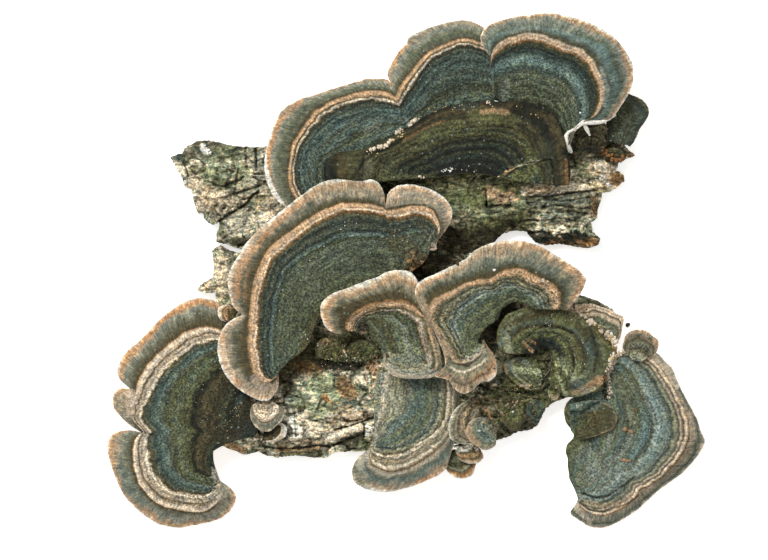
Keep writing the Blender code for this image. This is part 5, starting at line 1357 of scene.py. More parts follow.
ROT_BUD_BANDS = (("moss", 0, 0), ("moss", 0, 0.9), ("blush", 0.1, 1.5), ("peach", 0, 2))
OLD_RIGHT_ROWS = (
    (499, 352, 510, 354, 533, 354), (496, 338, 510, 345, 534, 352), (499, 324, 514, 338, 536, 350),
    (508, 313, 521, 332, 538, 348.5), (522, 308, 530, 328.5, 541, 347.5),
    (538, 305.5, 540, 326.5, 543, 347), (553, 306, 550, 326.5, 546, 347.5),
    (567, 309.5, 560, 328.5, 548, 349), (580, 316, 569, 333, 549.5, 351),
    (592, 324.5, 575, 340, 550.5, 353.5), (602, 334, 579, 348, 551, 356), (611, 345, 581, 356, 551, 359),
    (614, 356, 582, 364, 551, 362), (609, 368, 581, 371, 550.5, 365), (604, 378, 578, 377, 550, 368),
    (602, 388, 574, 382, 549, 371), (590, 394, 568, 386, 547, 374), (576, 397.5, 562, 388, 545, 376),
    (565, 397, 556, 389, 543, 378),
)
OLD_RIGHT_BANDS = (
    ("pitch", 0, 0), ("ink", 0, 0.14), ("pitch", -0.03, 0.26), ("ink", 0, 0.36), ("bog", 0, 0.44),
    ("olive", 0.04, 0.5), ("moss", 0.08, 0.58), ("olive", 0.05, 0.66), ("bog", -0.05, 0.73),
    ("moss", 0.1, 0.8), ("fern", 0.1, 0.87), ("moss", 0.08, 0.94), ("umber", -0.15, 1.02), ("bog", 0, 1.1),
    ("dusk", 0, 1.2), ("sage", 0.03, 1.3), ("olive", 0.04, 1.42), ("umber", 0.05, 1.55),
    ("olive", 0.06, 1.66), ("fern", 0, 1.76), ("olive", 0.04, 1.86), ("moss", 0.05, 1.94),
    ("umber", 0, 2.0),
)
OLD_RIGHT_MARKS = (
    ("slate", 0.5, 5, (592, 340), (594, 356)), ("steel", 0.5, 2.5, (588, 345), (592, 356)),
    ("moss", 0.6, 6, (553, 356), (557, 368), (554, 378)), ("lichen", 0.45, 5, (560, 362), (572, 372)),
    ("fern", 0.6, 6, (590, 364), (596, 372), (584, 378)), ("lichen", 0.5, 3, (560, 392), (580, 394)),
    ("umber", 0.6, 5, (530, 314), (552, 312), (575, 318)),
    ("tan", 0.6, 3, (598, 378), (588, 386), (575, 392)), ("lichen", 0.7, 4, (506, 340), (510, 350)),
    ("tan", 0.6, 1.8, (524, 343), (530, 349), (540, 357)), ("slate", 0.7, 4, (574, 386), (583, 382)),
    ("umber", 0.5, 6, (540, 388), (566, 392)), ("tan", 0.6, 2, (598, 386), (602, 376)),
    ("blush", 0.6, 2.2, (584, 392), (594, 388)), ("lichen", 0.5, 2, (556, 374), (562, 384), (566, 394)),
    ("lichen", 0.5, 2, (566, 372), (576, 378), (584, 376)),
    ("pitch", 0.6, 5, (540, 342), (548, 350), (549, 362)), ("umber", 0.6, 4, (572, 344), (577, 356)),
    ("tan", 0.4, 2, (528, 340), (536, 343)), ("moss", 0.6, 5, (556, 318), (570, 324)),
    ("haze", 0.5, 3, (572, 381), (582, 386), (587, 393)),
    ("stone", 0.5, 3, (508, 352), (504, 340), (510, 326)), ("steel", 0.5, 3, (504, 332), (500, 344)),
    ("peat", 0.6, 3, (586, 330), (596, 336)),
)
OLD_RIGHT_FOLDS = (
    (-0.7, 1.0, (527, 337), (535, 330), (545, 326), (560, 328), (572, 333)),
    (-0.7, 1.2, (535, 340), (546, 352), (550, 368)),
    (0.5, 1.4, (545, 338), (553, 352), (557, 372), (564, 392)),
    (-0.5, 1.0, (572, 352), (574, 370), (566, 386)), (-0.5, 1.2, (590, 330), (598, 350), (594, 372)),
)
add_cap("rot_cap_brown", fan_rows(ROT_BROWN_HEART, ROT_BROWN_RIM), ROT_BROWN_BANDS, rough=0.35)
add_cap("rot_cap_dark", fan_rows(ROT_DARK_HEART, ROT_DARK_RIM), ROT_DARK_BANDS, rough=0.15)
add_cap("rot_cap_bud", fan_rows(ROT_BUD_HEART, ROT_BUD_RIM), ROT_BUD_BANDS, rough=0.25)
add_cap(
    "rot_cap_upper", fan_rows(ROT_UPPER_HEART, ROT_UPPER_RIM), ROT_BANDS, ROT_MARKS,
    rough=0.35,
)
add_cap(
    "old_cap_right", OLD_RIGHT_ROWS, OLD_RIGHT_BANDS, OLD_RIGHT_MARKS, OLD_RIGHT_FOLDS,
    rough=0.35,
)

# The mossy lobe under the centre cap
# A low double dome of old flesh, quite overgrown with moss.
MOSSY_LOBE_HEART = ((340, 362), (366, 362))
MOSSY_LOBE_RIM = (
    (317, 358), (314, 346), (322, 338), (337, 338), (347, 344), (358, 339), (372, 342), (382, 353),
)
MOSSY_LOBE_BANDS = (
    ("bog", 0, 0), ("moss", 0, 0.4), ("moss", 0.05, 0.7), ("olive", -0.05, 0.9), ("fern", 0.15, 1.1),
    ("moss", 0, 1.35), ("fern", 0.1, 1.55), ("umber", -0.05, 1.75), ("olive", 0, 2),
)
MOSSY_LOBE_MARKS = (
    ("tan", 0.45, 5, (324, 344), (338, 351)), ("rust", 0.4, 3, (330, 348), (340, 353)),
    ("pitch", 0.8, 3, (341, 341), (347, 347)), ("umber", 0.6, 4, (322, 352), (330, 357)),
    ("bog", 0.5, 4, (358, 350), (366, 354)), ("pitch", 0.7, 1.8, (347, 346), (350, 358)),
    ("fern", 0.5, 4, (360, 343), (374, 350)),
)
add_cap(
    "cap_mossy_lobe", fan_rows(MOSSY_LOBE_HEART, MOSSY_LOBE_RIM), MOSSY_LOBE_BANDS,
    MOSSY_LOBE_MARKS, rough=0.7,
)

# The big centre cap
# The largest fan: a velvety blue-green and olive face inside a raised tan ridge with a pale line that
# wanders along it, then a grey-brown band of this year's growth out to a cream rim.
CENTRE_ROWS = (
    (437, 249, 427, 249, 428, 257), (438, 241, 435, 240, 426, 260), (446, 231, 440, 230, 424, 262),
    (452, 220, 438, 221, 422, 264), (452.5, 210, 434, 213, 420, 266), (447, 200, 428, 208.5, 417, 268),
    (436, 191.5, 420, 206.5, 414, 270), (422, 186, 411, 206.5, 411, 272), (407, 184, 402, 209, 408, 274),
    (395, 186.5, 395, 210.5, 405, 276), (388, 193, 389, 211, 402, 278),
    (385.5, 204, 386, 210.5, 399, 279.5), (384, 192, 382, 208, 396, 281), (379, 183, 376, 207, 392, 283),
    (371, 179, 368, 205.5, 388, 285), (358, 181, 358, 205, 383, 287), (344, 179, 346, 205, 377, 289),
    (328, 180, 334, 207.5, 370, 291), (314, 186, 322, 212, 363, 294), (300, 196, 311, 218.5, 356, 297),
    (286, 207, 299, 226, 349, 300), (272, 218, 288, 234, 342, 303), (258, 230, 277, 242, 336, 306),
    (246, 243, 268, 251, 330, 309), (237, 257, 262, 262, 325, 312), (230, 270, 257, 274, 321, 316),
    (228, 284, 253, 288, 318, 320), (230, 299, 251, 302, 316, 325), (235, 309, 250, 311, 314, 329),
    (242, 314.5, 249, 317, 313, 332), (234, 318, 248.5, 322, 312, 334.5), (225, 325, 248, 330, 311, 337),
    (219, 336, 247.5, 339, 310, 340), (217, 348, 248, 349, 309, 343), (219, 361, 249.5, 358, 307, 346),
    (225, 375, 252, 368, 304, 350), (236, 387.5, 256, 376, 299, 354), (249, 396, 262, 381.5, 293, 358),
    (262, 401.5, 269, 382, 288, 362), (271, 399, 273, 379, 284, 366), (278, 388, 277, 376, 281, 369),
    (279, 377, 278.5, 373, 279.5, 371),
)
CENTRE_BANDS = (
    ("umber", 0, 0), ("olive", 0, 0.1), ("sage", 0, 0.22), ("dusk", 0, 0.34),
    ("sage", 0, 0.42, 0.42, 0.42, 0.46, 0.4, 0.36, 0.36),
    ("dusk", 0.03, 0.46, 0.48, 0.5, 0.56, 0.48, 0.44, 0.46),
    ("sage", 0.04, 0.5, 0.53, 0.55, 0.63, 0.54, 0.5, 0.54),
    ("bog", -0.05, 0.54, 0.58, 0.59, 0.665, 0.59, 0.56, 0.62),
    ("steel", 0.05, 0.58, 0.62, 0.63, 0.7, 0.64, 0.61, 0.7),
    ("ink", -0.04, 0.63, 0.66, 0.67, 0.74, 0.69, 0.66, 0.75),
    ("dusk", 0.04, 0.68, 0.71, 0.72, 0.79, 0.74, 0.71, 0.79),
    ("ink", -0.05, 0.74, 0.76, 0.78, 0.84, 0.79, 0.76, 0.82),
    ("dusk", 0, 0.79, 0.8, 0.84, 0.87, 0.82, 0.79, 0.84),
    ("umber", 0, 0.83, 0.835, 0.89, 0.89, 0.845, 0.815, 0.86),
    ("rust", 0.12, 0.87, 0.87, 0.92, 0.91, 0.87, 0.84, 0.88),
    ("cream", 0.24, 0.9, 0.905, 0.945, 0.93, 0.895, 0.87, 0.905),
    ("tan", 0.18, 0.93, 0.935, 0.96, 0.945, 0.915, 0.895, 0.93),
    ("peach", 0.33, 0.96, 0.965, 0.985, 0.97, 0.945, 0.93, 0.97),
    ("tan", 0.28, 0.99, 1.0, 1.02, 1.0, 0.98, 0.96, 1.02),
    ("umber", -0.1, 1.03, 1.06, 1.09, 1.05, 1.03, 1.01, 1.08),
    ("umber", -0.05, 1.06, 1.1, 1.16, 1.14, 1.18, 1.2, 1.1),
    ("smoke", 0, 1.09, 1.12, 1.24, 1.28, 1.36, 1.4, 1.12),
    ("taupe", 0, 1.5, 1.18, 1.4, 1.52, 1.56, 1.56, 1.2),
    ("fawn", 0.02, 1.66, 1.36, 1.58, 1.66, 1.7, 1.7, 1.5),
    ("shell", 0.03, 1.8, 1.6, 1.72, 1.79, 1.81, 1.81, 1.7), ("peach", 0.05, 1.89), ("cream", 0.04, 1.94),
    ("chalk", 0, 1.975),
)
CENTRE_MARKS = (
    ("copper", 0.4, 3.2, (237, 296), (239, 270), (263, 238), (289, 212), (318, 189), (350, 185), (376, 186)),
    ("copper", 0.4, 3.2, (222, 336), (224, 362), (238, 384)),
    ("copper", 0.4, 2.5, (392, 190), (412, 188), (440, 202)),
    ("cream", 0.7, 1.4, (230, 296), (232, 270), (240, 256)),
    ("ash", 0.45, 8, (292, 197), (318, 186), (350, 187), (378, 191)),
    ("umber", 0.8, 9, (412, 258), (424, 262), (405, 278)),
    ("rust", 0.75, 4, (410, 262), (418, 266), (414, 272)), ("tan", 0.7, 2, (412, 252), (415, 260)),
    ("tan", 0.6, 1.8, (420, 262), (426, 264)), ("umber", 0.4, 10, (395, 240), (410, 250)),
    ("cream", 0.8, 2, (433, 245), (437, 250)),
    ("haze", 0.55, 4, (400, 192), (418, 194), (436, 200), (443, 210)),
    ("ash", 0.5, 3, (404, 200), (422, 202)), ("bog", 0.5, 8, (362, 262), (380, 262)),
    ("umber", 0.5, 2.5, (420, 222), (424, 232)), ("taupe", 0.5, 2, (428, 240), (432, 232)),
    ("bog", 0.4, 9, (300, 330), (306, 310)), ("olive", 0.4, 7, (325, 285), (340, 272)),
    ("shell", 0.6, 4, (254, 378), (262, 387), (272, 388)),
    ("cream", 0.4, 4, (222, 346), (224, 362), (232, 376)),
    ("tan", 0.4, 3, (240, 262), (236, 274), (234, 288)),
    ("rust", 0.35, 2, (250, 262), (246, 280), (245, 300)),
)
CENTRE_FOLDS = (
    (-0.6, 1.5, (430, 235), (427, 242), (422, 247)), (0.4, 3.0, (412, 256), (408, 264), (412, 272)),
    (-0.5, 1.4, (418, 252), (414, 262), (418, 270)), (-0.4, 1.4, (404, 255), (402, 264), (398, 272)),
)
add_cap("cap_centre", CENTRE_ROWS, CENTRE_BANDS, CENTRE_MARKS, CENTRE_FOLDS)

# The two curled caps right of the centre
# The topmost fans. Their peach rims roll upwards, and their lower lobes curl back round on themselves.
CURL_LEFT_ROWS = (
    (341, 333.5, 346, 331.5, 359, 331), (333, 333, 341, 328, 358, 329.5), (325, 327, 342, 322, 358, 327.5),
    (321, 317, 346, 317, 359, 325.5), (320, 307, 350, 312.5, 360, 324), (325, 298, 356, 308.5, 361, 323),
    (335, 292, 363, 305, 363, 322), (348, 287.5, 371, 303, 364, 322), (362, 281.5, 380, 302, 365, 322.5),
    (376, 277, 388, 301.5, 366, 323), (388, 271, 396, 302, 367, 324), (400, 269.5, 404, 303, 368, 326),
    (411, 272, 411, 306, 369, 328), (418, 281, 417, 310.5, 369, 330), (424, 292, 421, 314, 370, 332),
    (428, 305, 425, 318, 370, 334), (431, 318, 428.5, 322, 371, 336), (434, 330, 431, 331, 372, 338),
    (439, 343, 435, 344, 373, 340), (442, 357, 438, 357, 375, 342), (442, 370, 438, 368, 377, 344),
    (434, 377, 430, 373, 379, 346), (420, 379, 418, 374.5, 380, 347), (406, 379, 406, 374, 381, 348),
    (394, 376.5, 397, 371.5, 381, 349), (386, 370, 391, 366, 381, 350), (383, 360, 388, 360, 381.5, 351),
    (383, 353, 385, 353, 382, 352),
)
CURL_LEFT_BANDS = (
    ("olive", 0, 0), ("dusk", 0, 0.02, 0.03, 0.1, 0.16, 0.14, 0.1, 0.08),
    ("olive", 0, 0.04, 0.05, 0.16, 0.24, 0.24, 0.2, 0.16),
    ("umber", -0.04, 0.05, 0.07, 0.2, 0.32, 0.32, 0.28, 0.24),
    ("sage", 0.04, 0.07, 0.09, 0.25, 0.4, 0.4, 0.36, 0.3),
    ("fern", 0, 0.09, 0.11, 0.3, 0.47, 0.48, 0.44, 0.38),
    ("haze", 0.05, 0.11, 0.14, 0.36, 0.54, 0.56, 0.52, 0.46),
    ("olive", 0, 0.13, 0.17, 0.4, 0.62, 0.63, 0.6, 0.54),
    ("sage", 0.05, 0.15, 0.2, 0.45, 0.7, 0.7, 0.68, 0.62),
    ("umber", 0, 0.17, 0.22, 0.5, 0.77, 0.78, 0.75, 0.7),
    ("shell", 0.2, 0.2, 0.25, 0.55, 0.84, 0.85, 0.82, 0.78),
    ("ash", 0.05, 0.23, 0.28, 0.6, 0.89, 0.9, 0.87, 0.84),
    ("umber", 0, 0.26, 0.31, 0.64, 0.93, 0.94, 0.92, 0.9),
    ("tan", 0.2, 0.32, 0.38, 0.72, 0.97, 0.97, 0.96, 0.95),
    ("peach", 0.28, 0.46, 0.55, 0.84, 1.0, 1.0, 0.99, 0.98),
    ("tan", 0.22, 0.6, 0.72, 0.95, 1.03, 1.02, 1.01, 1.0),
    ("rust", -0.02, 0.72, 0.82, 1.03, 1.06, 1.04, 1.03, 1.02),
    ("umber", -0.1, 0.78, 0.9, 1.07, 1.09, 1.07, 1.06, 1.05),
    ("umber", -0.1, 1.1, 1.3, 1.34, 1.14, 1.1, 1.1, 1.08),
    ("ash", 0, 1.3, 1.46, 1.5, 1.24, 1.2, 1.16, 1.15), ("fawn", 0.02, 1.5, 1.6, 1.64, 1.44, 1.36, 1.3, 1.3),
    ("tan", 0.04, 1.66, 1.7, 1.72, 1.66), ("peach", 0.06, 1.8), ("cream", 0.05, 1.91), ("chalk", 0, 2.0),
)
CURL_LEFT_MARKS = (
    ("ash", 0.3, 7, (345, 296), (370, 286), (400, 280)),
    ("stone", 0.4, 8, (388, 362), (398, 368), (412, 373)),
    ("olive", 0.3, 8, (372, 312), (392, 318), (406, 330)),
    ("fawn", 0.75, 3.5, (421, 298), (425, 310), (430, 322), (434, 334)),
    ("stone", 0.7, 4, (436, 344), (439, 356), (439, 366)),
    ("stone", 0.6, 7, (392, 362), (406, 368), (422, 369)),
    ("bark", 0.75, 4.5, (436, 373), (420, 376), (404, 375), (390, 367)),
    ("steel", 0.6, 1.4, (441, 366), (433, 372), (420, 373), (406, 372), (394, 366)),
    ("umber", 0.5, 2, (426, 338), (428, 352)), ("haze", 0.5, 5, (402, 358), (416, 360)),
    ("lichen", 0.4, 3, (408, 345), (418, 352)),
    ("steel", 0.6, 1.2, (392, 358), (402, 362), (416, 362), (426, 356)),
    ("umber", 0.5, 1, (390, 362), (402, 367), (418, 367), (430, 361)),
)
CURL_RIGHT_ROWS = (
    (566, 311, 561, 310, 533, 309), (576, 300, 563, 301, 530, 307), (583, 289, 562, 293, 527, 305),
    (586, 279, 557, 286, 523, 303), (579, 270, 549, 281, 520, 302), (566, 261, 539, 277, 516, 302),
    (552, 252.5, 529, 272, 512, 302.5), (538, 245, 519, 269, 509, 304), (522, 240.5, 508, 269.5, 506, 306),
    (505, 240.5, 498, 274, 503, 308), (490, 243, 489, 279.5, 501, 311), (476, 249, 478, 281, 500, 314),
    (464, 259, 466, 284.5, 499, 317), (450, 266, 455, 290, 497, 320), (436, 273, 445, 296, 494, 322.5),
    (424, 278, 437, 301, 491, 324.5), (417, 284, 432, 307, 488, 326), (414.5, 292, 429.5, 313, 486, 328),
    (419, 305, 428, 318, 484, 330), (426, 319, 430, 322, 482, 332), (433, 330, 436, 331, 481, 334),
    (438, 342, 442, 341, 480, 336), (443, 354, 448, 350, 479.5, 338), (444, 366, 451, 357, 479, 340),
    (434, 376, 453, 361, 479, 341), (447, 380, 458, 363, 479, 342), (455, 390, 463, 363, 479, 342.5),
    (464, 394, 468, 362, 479.5, 343), (473, 390, 473, 360, 480, 343.3),
    (481, 383, 477, 357.5, 480.5, 343.5), (492, 380, 480, 354, 481, 343.5),
    (497.5, 370, 482, 350, 481.5, 343.3), (494, 356, 484, 346, 482, 343), (487.5, 346, 484, 343, 482, 342),
    (484, 339, 483, 340, 481.5, 341),
)
CURL_RIGHT_BANDS = (
    ("bog", 0, 0), ("fern", 0, 0.04, 0.1, 0.14, 0.12, 0.1, 0.08, 0.06),
    ("sage", 0.03, 0.06, 0.2, 0.26, 0.22, 0.2, 0.16, 0.12),
    ("fern", 0, 0.08, 0.28, 0.4, 0.33, 0.3, 0.24, 0.18),
    ("steel", 0.06, 0.12, 0.35, 0.5, 0.42, 0.38, 0.3, 0.24),
    ("fern", 0, 0.16, 0.39, 0.57, 0.48, 0.44, 0.36, 0.3),
    ("mist", 0.1, 0.22, 0.43, 0.62, 0.53, 0.5, 0.42, 0.34),
    ("dusk", 0, 0.3, 0.46, 0.66, 0.58, 0.58, 0.54, 0.42),
    ("haze", 0.05, 0.38, 0.5, 0.7, 0.63, 0.64, 0.6, 0.48),
    ("umber", -0.05, 0.43, 0.54, 0.75, 0.69, 0.69, 0.64, 0.53),
    ("stone", 0.08, 0.48, 0.6, 0.8, 0.76, 0.74, 0.69, 0.58),
    ("umber", -0.05, 0.53, 0.66, 0.85, 0.83, 0.8, 0.72, 0.64),
    ("ash", 0.05, 0.6, 0.72, 0.89, 0.89, 0.86, 0.8, 0.72),
    ("tan", 0.2, 0.68, 0.8, 0.94, 0.94, 0.93, 0.9, 0.86),
    ("peach", 0.28, 0.77, 0.88, 0.97, 1.01, 0.97, 0.96, 0.95),
    ("tan", 0.25, 0.86, 0.95, 1.01, 1.1, 1.0, 1.0, 1.0),
    ("umber", -0.06, 0.94, 1.02, 1.07, 1.18, 1.05, 1.05, 1.05),
    ("umber", -0.05, 1.0, 1.08, 1.16, 1.36, 1.12, 1.1, 1.1),
    ("dusk", 0, 1.1, 1.2, 1.36, 1.54, 1.2, 1.14, 1.14),
    ("ash", 0, 1.42, 1.44, 1.54, 1.64, 1.36, 1.24, 1.24),
    ("fawn", 0.02, 1.64, 1.64, 1.7, 1.76, 1.5, 1.4, 1.4), ("tan", 0.03, 1.76, 1.78, 1.82, 1.84, 1.76),
    ("peach", 0.06, 1.9), ("cream", 0.03, 1.96), ("chalk", 0, 2.02),
)
CURL_RIGHT_MARKS = (
    ("haze", 0.4, 9, (455, 268), (480, 256), (515, 254), (550, 266)),
    ("fawn", 0.8, 4, (421, 300), (427, 313), (432, 324), (437, 334), (443, 345), (449, 354)),
    ("stone", 0.7, 5, (452, 364), (460, 372), (470, 372), (480, 366), (487, 356)),
    ("bark", 0.6, 4, (466, 361), (475, 358), (482, 350)),
    ("fern", 0.6, 6, (468, 330), (464, 340), (470, 350)),
    ("fawn", 0.5, 3, (452, 378), (462, 386), (474, 384), (486, 376)),
    ("fawn", 0.6, 4, (452, 378), (462, 388), (474, 384)),
    ("cream", 0.75, 1.2, (451, 367), (457, 371), (463, 372), (469.5, 370), (475, 367), (481.5, 364),
     (485, 359)),
    ("umber", 0.5, 1.0, (449, 374), (456, 382), (464, 385), (471.5, 382), (479, 376), (487.5, 373),
     (492, 365)),
    ("umber", 0.6, 0.9, (453, 363), (463, 365), (473, 362), (480, 356)),
)
CURL_RIGHT_FOLDS = (
    (0.35, 1.2, (451, 367), (457, 371), (463, 372), (469.5, 370), (475, 367), (481.5, 364), (485, 359)),
    (-0.3, 1.3, (449, 374), (456, 382), (464, 385), (471.5, 382), (479, 376), (487.5, 373), (492, 365)),
    (-0.3, 1.0, (453, 363), (463, 365), (473, 362), (480, 356)),
)
add_cap("cap_curl_left", CURL_LEFT_ROWS, CURL_LEFT_BANDS, CURL_LEFT_MARKS)
add_cap("cap_curl_right", CURL_RIGHT_ROWS, CURL_RIGHT_BANDS, CURL_RIGHT_MARKS, CURL_RIGHT_FOLDS)

# The crumbs, the dust and the torn strands
# Crumbs of rotten wood and pale flesh lie along the seams between the caps, and white dust on their faces.
# White pore flesh hangs torn from the broad top cap, and a pale tip curls up at the centre cap's right end.
# A heap is its colour, its number of crumbs, their size in millimetres and their scatter, then its course.
HEAPS = (
    ("cream", 30, (0.3, 0.75), 1.8, (367, 151), (377, 147), (387, 145), (397, 133), (402, 130)),
    ("gold", 16, (0.2, 0.4), 2.4, (368, 153), (386, 147), (402, 134)),
    ("cream", 16, (0.35, 0.8), 1.6, (409, 127), (413, 122), (419, 119)),
    ("cream", 8, (0.2, 0.4), 2, (484, 100), (494, 107)),
    ("gold", 26, (0.12, 0.3), 4, (420, 115), (450, 108), (480, 106), (510, 108), (540, 116)),
    ("chalk", 6, (0.25, 0.4), 1.5, (443, 171), (451, 171)),
    ("cream", 10, (0.12, 0.25), 5, (470, 172), (500, 176)),
    ("cream", 7, (0.12, 0.26), 6, (304, 332), (310, 346)),
    ("chalk", 70, (0.07, 0.17), 26, (262, 350), (285, 270), (340, 230), (400, 235)),
    ("chalk", 30, (0.07, 0.16), 20, (330, 140), (420, 90), (470, 75)),
    ("chalk", 22, (0.07, 0.16), 18, (510, 70), (580, 90)), ("chalk", 1, (0.4, 0.45), 0.5, (580, 113)),
    ("mist", 3, (0.2, 0.35), 2.0, (579, 111), (582, 115)),
    ("chalk", 40, (0.06, 0.15), 25, (170, 440), (190, 370), (185, 480)),
    ("gold", 30, (0.1, 0.22), 10, (222, 430), (236, 415), (230, 395)),
    ("cream", 30, (0.3, 0.9), 2.2, (578, 311), (590, 321), (601, 328), (611, 338)),
    ("gold", 12, (0.3, 0.6), 2.6, (582, 314), (596, 325), (608, 336)),
    ("gold", 50, (0.3, 0.7), 3.2, (610, 338), (616, 350), (611, 362)),
    ("chalk", 70, (0.25, 0.6), 3.2, (608, 335), (618, 346), (612, 362)),
    ("cream", 130, (0.25, 0.65), 3.4, (611, 338), (619, 349), (613, 358), (608, 372)),
    ("cream", 40, (0.2, 0.5), 2.4, (607, 372), (610, 386), (607, 401)),
    ("tan", 12, (0.3, 0.6), 3, (606, 378), (600, 384)), ("peat", 14, (0.3, 0.6), 3, (606, 384), (606, 398)),
    ("chalk", 3, (0.25, 0.45), 1.0, (577, 405), (578, 408)),
    ("chalk", 60, (0.06, 0.17), 24, (600, 470), (640, 430), (650, 380)),
    ("tan", 5, (0.5, 0.8), 0.8, (624, 429), (628, 431), (632, 432)),
    ("tan", 5, (0.4, 0.7), 0.8, (622, 460), (630, 461)), ("rust", 3, (0.3, 0.4), 1, (635, 409), (637, 412)),
    ("chalk", 60, (0.07, 0.18), 12, (392, 388), (402, 420), (385, 440)),
    ("chalk", 40, (0.08, 0.2), 9, (375, 360), (380, 395)),
    ("chalk", 50, (0.1, 0.24), 7, (322, 362), (345, 358), (360, 362)),
    ("tan", 46, (0.15, 0.5), 6, (366, 362), (374, 370), (370, 384)),
    ("lichen", 60, (0.15, 0.45), 8, (316, 380), (330, 392)),
    ("copper", 7, (0.3, 0.6), 2, (322, 397), (332, 402)), ("chalk", 1, (0.5, 0.55), 0.3, (494, 270)),
    ("chalk", 26, (0.07, 0.16), 14, (410, 340), (420, 355)),
    ("chalk", 24, (0.07, 0.16), 14, (455, 320), (480, 300), (520, 262)),
    ("cream", 6, (0.3, 0.5), 1.5, (541, 280), (548, 282)),
    ("chalk", 36, (0.07, 0.2), 20, (530, 320), (580, 340), (570, 380)),
    ("gold", 20, (0.15, 0.35), 6, (512, 390), (530, 388)),
    ("rust", 5, (0.3, 0.6), 4, (476, 403), (490, 412)),
    ("fawn", 14, (0.3, 0.7), 5, (470, 398), (500, 412), (515, 400)),
    ("chalk", 1, (0.4, 0.5), 0.3, (479, 431)), ("chalk", 1, (0.4, 0.5), 0.3, (513, 412)),
    ("chalk", 3, (0.3, 0.5), 1, (475, 447), (478, 450)),
    ("chalk", 14, (0.25, 0.6), 2.6, (601, 178), (611, 186)),
    ("cream", 14, (0.2, 0.5), 4, (590, 182), (606, 178)),
    ("chalk", 16, (0.1, 0.3), 9, (446, 172), (480, 176), (476, 205)),
    ("cream", 6, (0.2, 0.5), 2, (420, 177), (424, 178)),
    ("ink", 40, (0.3, 0.7), 4, (530, 236), (545, 240), (566, 236), (588, 234)),
    ("cream", 8, (0.1, 0.22), 4, (580, 232), (592, 236)),
    ("chalk", 14, (0.3, 0.7), 2.5, (201, 147), (206, 151), (209, 154)),
    ("rust", 30, (0.3, 0.8), 3, (604, 152), (616, 160), (628, 156)),
    ("peat", 24, (0.4, 0.9), 3, (578, 136), (600, 142), (618, 146)),
    ("umber", 60, (0.3, 0.8), 8, (405, 258), (430, 262), (450, 258), (462, 256)),
    ("peat", 1, (0.9, 1.0), 0.1, (629, 325)),
    ("moss", 150, (0.2, 0.6), 14, (322, 350), (350, 352), (372, 350)),
    ("umber", 70, (0.2, 0.6), 16, (322, 354), (345, 356), (372, 356)),
    ("olive", 90, (0.25, 0.7), 14, (326, 348), (372, 350)),
    ("tan", 60, (0.12, 0.35), 16, (326, 350), (372, 350)),
    ("chalk", 16, (0.1, 0.2), 4, (318, 346), (334, 345)),
    ("olive", 90, (0.2, 0.6), 22, (480, 400), (520, 400), (556, 398)),
    ("moss", 70, (0.2, 0.65), 22, (476, 400), (520, 404), (550, 402)),
    ("umber", 40, (0.2, 0.6), 22, (476, 404), (540, 402)),
    ("tan", 60, (0.15, 0.4), 22, (480, 402), (530, 404)),
    ("lichen", 60, (0.15, 0.45), 14, (514, 368), (544, 374), (540, 395)),
    ("olive", 120, (0.15, 0.45), 16, (512, 330), (520, 316), (560, 312), (590, 322)),
)
# A strand is its colour, then its course: a place, a height in millimetres and a radius in pixels.
STRANDS = (
    ("chalk", (616, 115, 12.5, 0.8), (608, 119, 14.0, 1.8), (600, 121.5, 14.6, 2.8), (591, 122, 15.0, 3.0),
     (583, 123, 15.2, 2.4), (575, 129, 14.6, 1.5), (569, 132, 14.3, 1.5), (566, 137, 14.2, 2.4),
     (566.5, 144, 14.0, 3.0), (569, 149, 13.2, 2.8), (572, 153, 11.5, 1.2)),
    ("chalk", (583, 123, 15.0, 2.0), (587, 130, 13.6, 2.0), (590, 136, 12.6, 0.8)),
    ("shell", (423, 247, 15.2, 0.6), (429, 248.6, 15.6, 1.4), (434, 249.5, 15.4, 1.3),
     (437, 248, 15.0, 0.5)),
    ("cream", (342, 349, 11.0, 0.5), (344.5, 352, 11.4, 0.7), (347, 357, 11.3, 0.5)),
)
# Crumbs are dropped from DROP_HEIGHT millimetres, flattened and half sunk. Those of one colour may also
# fall beside the bark.
DROP_HEIGHT, LOOSE_CRUMB, CRUMB_SEED = 60, "peat", 11
CRUMB_FLATNESS, CRUMB_RISE = 0.7, 0.3
STRAND_SIDES, STRAND_STEPS = 12, 12
CRUMB_SCALE, CRUMB_GRAIN = 1900.0, 0.2 * MM


def crumb_finish(name):
    """Dry crumbly flesh or rotten wood, in the colour it is given."""
    material, tree, shader, spot = new_finish(name)
    grit = cloud(tree, spot, CRUMB_SCALE, 3.0)
    colour = lit(tree, painted(tree, "stain").outputs["Color"], swing(tree, grit, 0.25, 0.12))
    tree.links.new(colour, shader.inputs["Base Color"])
    tree.links.new(between(tree, grit, 0.2, 0.8, 0.75, 0.98), shader.inputs["Roughness"])
    raise_grain(tree, shader, grit, CRUMB_GRAIN)
    return material


def round_lump():
    """The points and faces of a ball that the crumbs are squeezed from."""
    ball = bmesh.new()
    bmesh.ops.create_icosphere(ball, subdivisions=1, radius=1.0)
    points = np.array([corner.co[:] for corner in ball.verts])
    faces = np.array([[corner.index for corner in face.verts] for face in ball.faces])
    ball.free()
    return points, faces


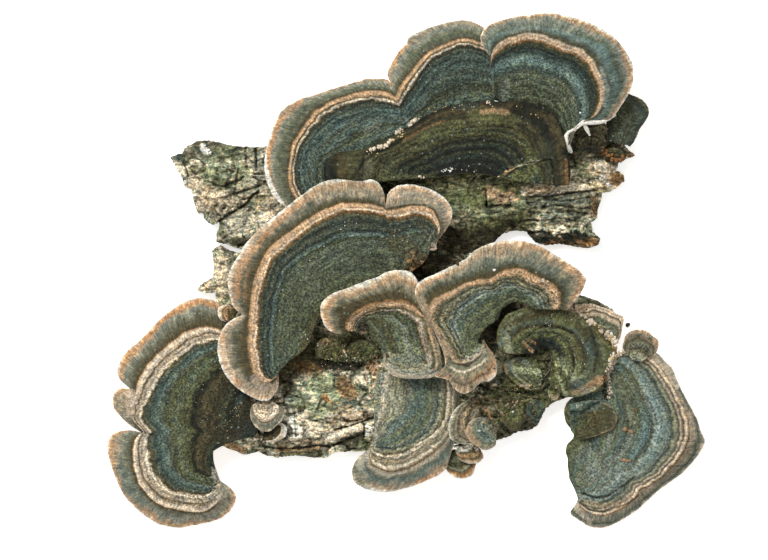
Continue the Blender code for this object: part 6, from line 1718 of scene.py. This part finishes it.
def add_crumbs(name, heaps):
    """Rough little lumps, dropped onto whatever has grown below them and half sunk into it."""
    graph = bpy.context.evaluated_depsgraph_get()
    ground_pieces = [piece for piece in bpy.data.objects if piece.name.endswith("_grown")]
    trees = [BVHTree.FromObject(piece, graph) for piece in ground_pieces]
    ball_points, ball_faces = round_lump()
    chance = np.random.default_rng(CRUMB_SEED)
    points, faces, colours = [], [], []
    for colour, count, sizes, scatter, *course in heaps:
        for _ in range(count):
            on_course = through(course, chance.uniform(0, len(course) - 1, 1))[0]
            x, y = on_course + chance.normal(0, 0.5 * scatter, 2)
            hits = [tree.ray_cast(place(x, y, DROP_HEIGHT), Vector((0, 0, -1)))[0] for tree in trees]
            ground = max((hit.z for hit in hits if hit), default=None)
            if ground is None and colour != LOOSE_CRUMB:
                continue
            ground = ground or 0.0
            radius = chance.uniform(*sizes) * MM
            turn = Euler(chance.uniform(0, 6.28, 3)).to_matrix()
            squeezed = np.array(turn @ Matrix.Diagonal(chance.uniform(0.6, 1.3, 3)))
            lump = ball_points * chance.uniform(0.7, 1.15, (len(ball_points), 1)) @ squeezed.T * radius
            lump[:, 2] = np.maximum(lump[:, 2] * CRUMB_FLATNESS + ground + CRUMB_RISE * radius, 0.0)
            faces.append(ball_faces + len(points) * len(ball_points))
            points.append(lump + np.array(place(x, y)))
            colours.append(np.tile(tint(colour) * chance.uniform(0.75, 1.1), (len(lump), 1)))
    points = np.concatenate(points)
    piece = add_piece(name, points.tolist(), np.concatenate(faces).tolist(), [crumb_finish(name)])
    give(piece, "stain", "FLOAT_COLOR", np.concatenate(colours))
    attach(piece, "root")


def add_strands(name, strands):
    """Soft round strands that thin out to their ends."""
    points, faces, colours = [], [], []
    around = np.linspace(0, 2 * np.pi, STRAND_SIDES, endpoint=False)
    for colour, *course in strands:
        steps = through(course, np.linspace(0, len(course) - 1, STRAND_STEPS * len(course)))
        first = len(points)
        for index, (x, y, height, radius) in enumerate(steps):
            x2, y2 = steps[min(index + 1, len(steps) - 1)][:2] - steps[max(index - 1, 0)][:2]
            run = max(np.hypot(x2, y2), 1e-6)
            swollen = 1 + 0.2 * noise.noise((x / 2, y / 2, 1.0))
            fat = radius * (0.15 if index in (0, len(steps) - 1) else swollen)
            for turn in around:
                aside = fat * np.cos(turn) * (1 + 0.15 * noise.noise((x, y, turn)))
                up = 0.8 * fat * np.sin(turn) * PIXEL / MM
                points.append(place(x - aside * y2 / run, y + aside * x2 / run, height + up))
                colours.append(tint(colour))
        for near in range(first, len(points) - STRAND_SIDES, STRAND_SIDES):
            far = near + STRAND_SIDES
            for side in range(STRAND_SIDES):
                after = (side + 1) % STRAND_SIDES
                faces.append((near + side, near + after, far + after, far + side))
        faces.append(tuple(reversed(range(first, first + STRAND_SIDES))))
        faces.append(tuple(range(len(points) - STRAND_SIDES, len(points))))
    piece = add_piece(name, points, faces, [crumb_finish(name)])
    give(piece, "stain", "FLOAT_COLOR", np.array(colours))
    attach(piece, "root")


add_crumbs("crumbs", HEAPS)
add_strands("torn_strands", STRANDS)

boxes = {"cad": cad_box, "visual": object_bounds()}
{name: [[float(value) for value in corner] for corner in box] for name, box in boxes.items()}
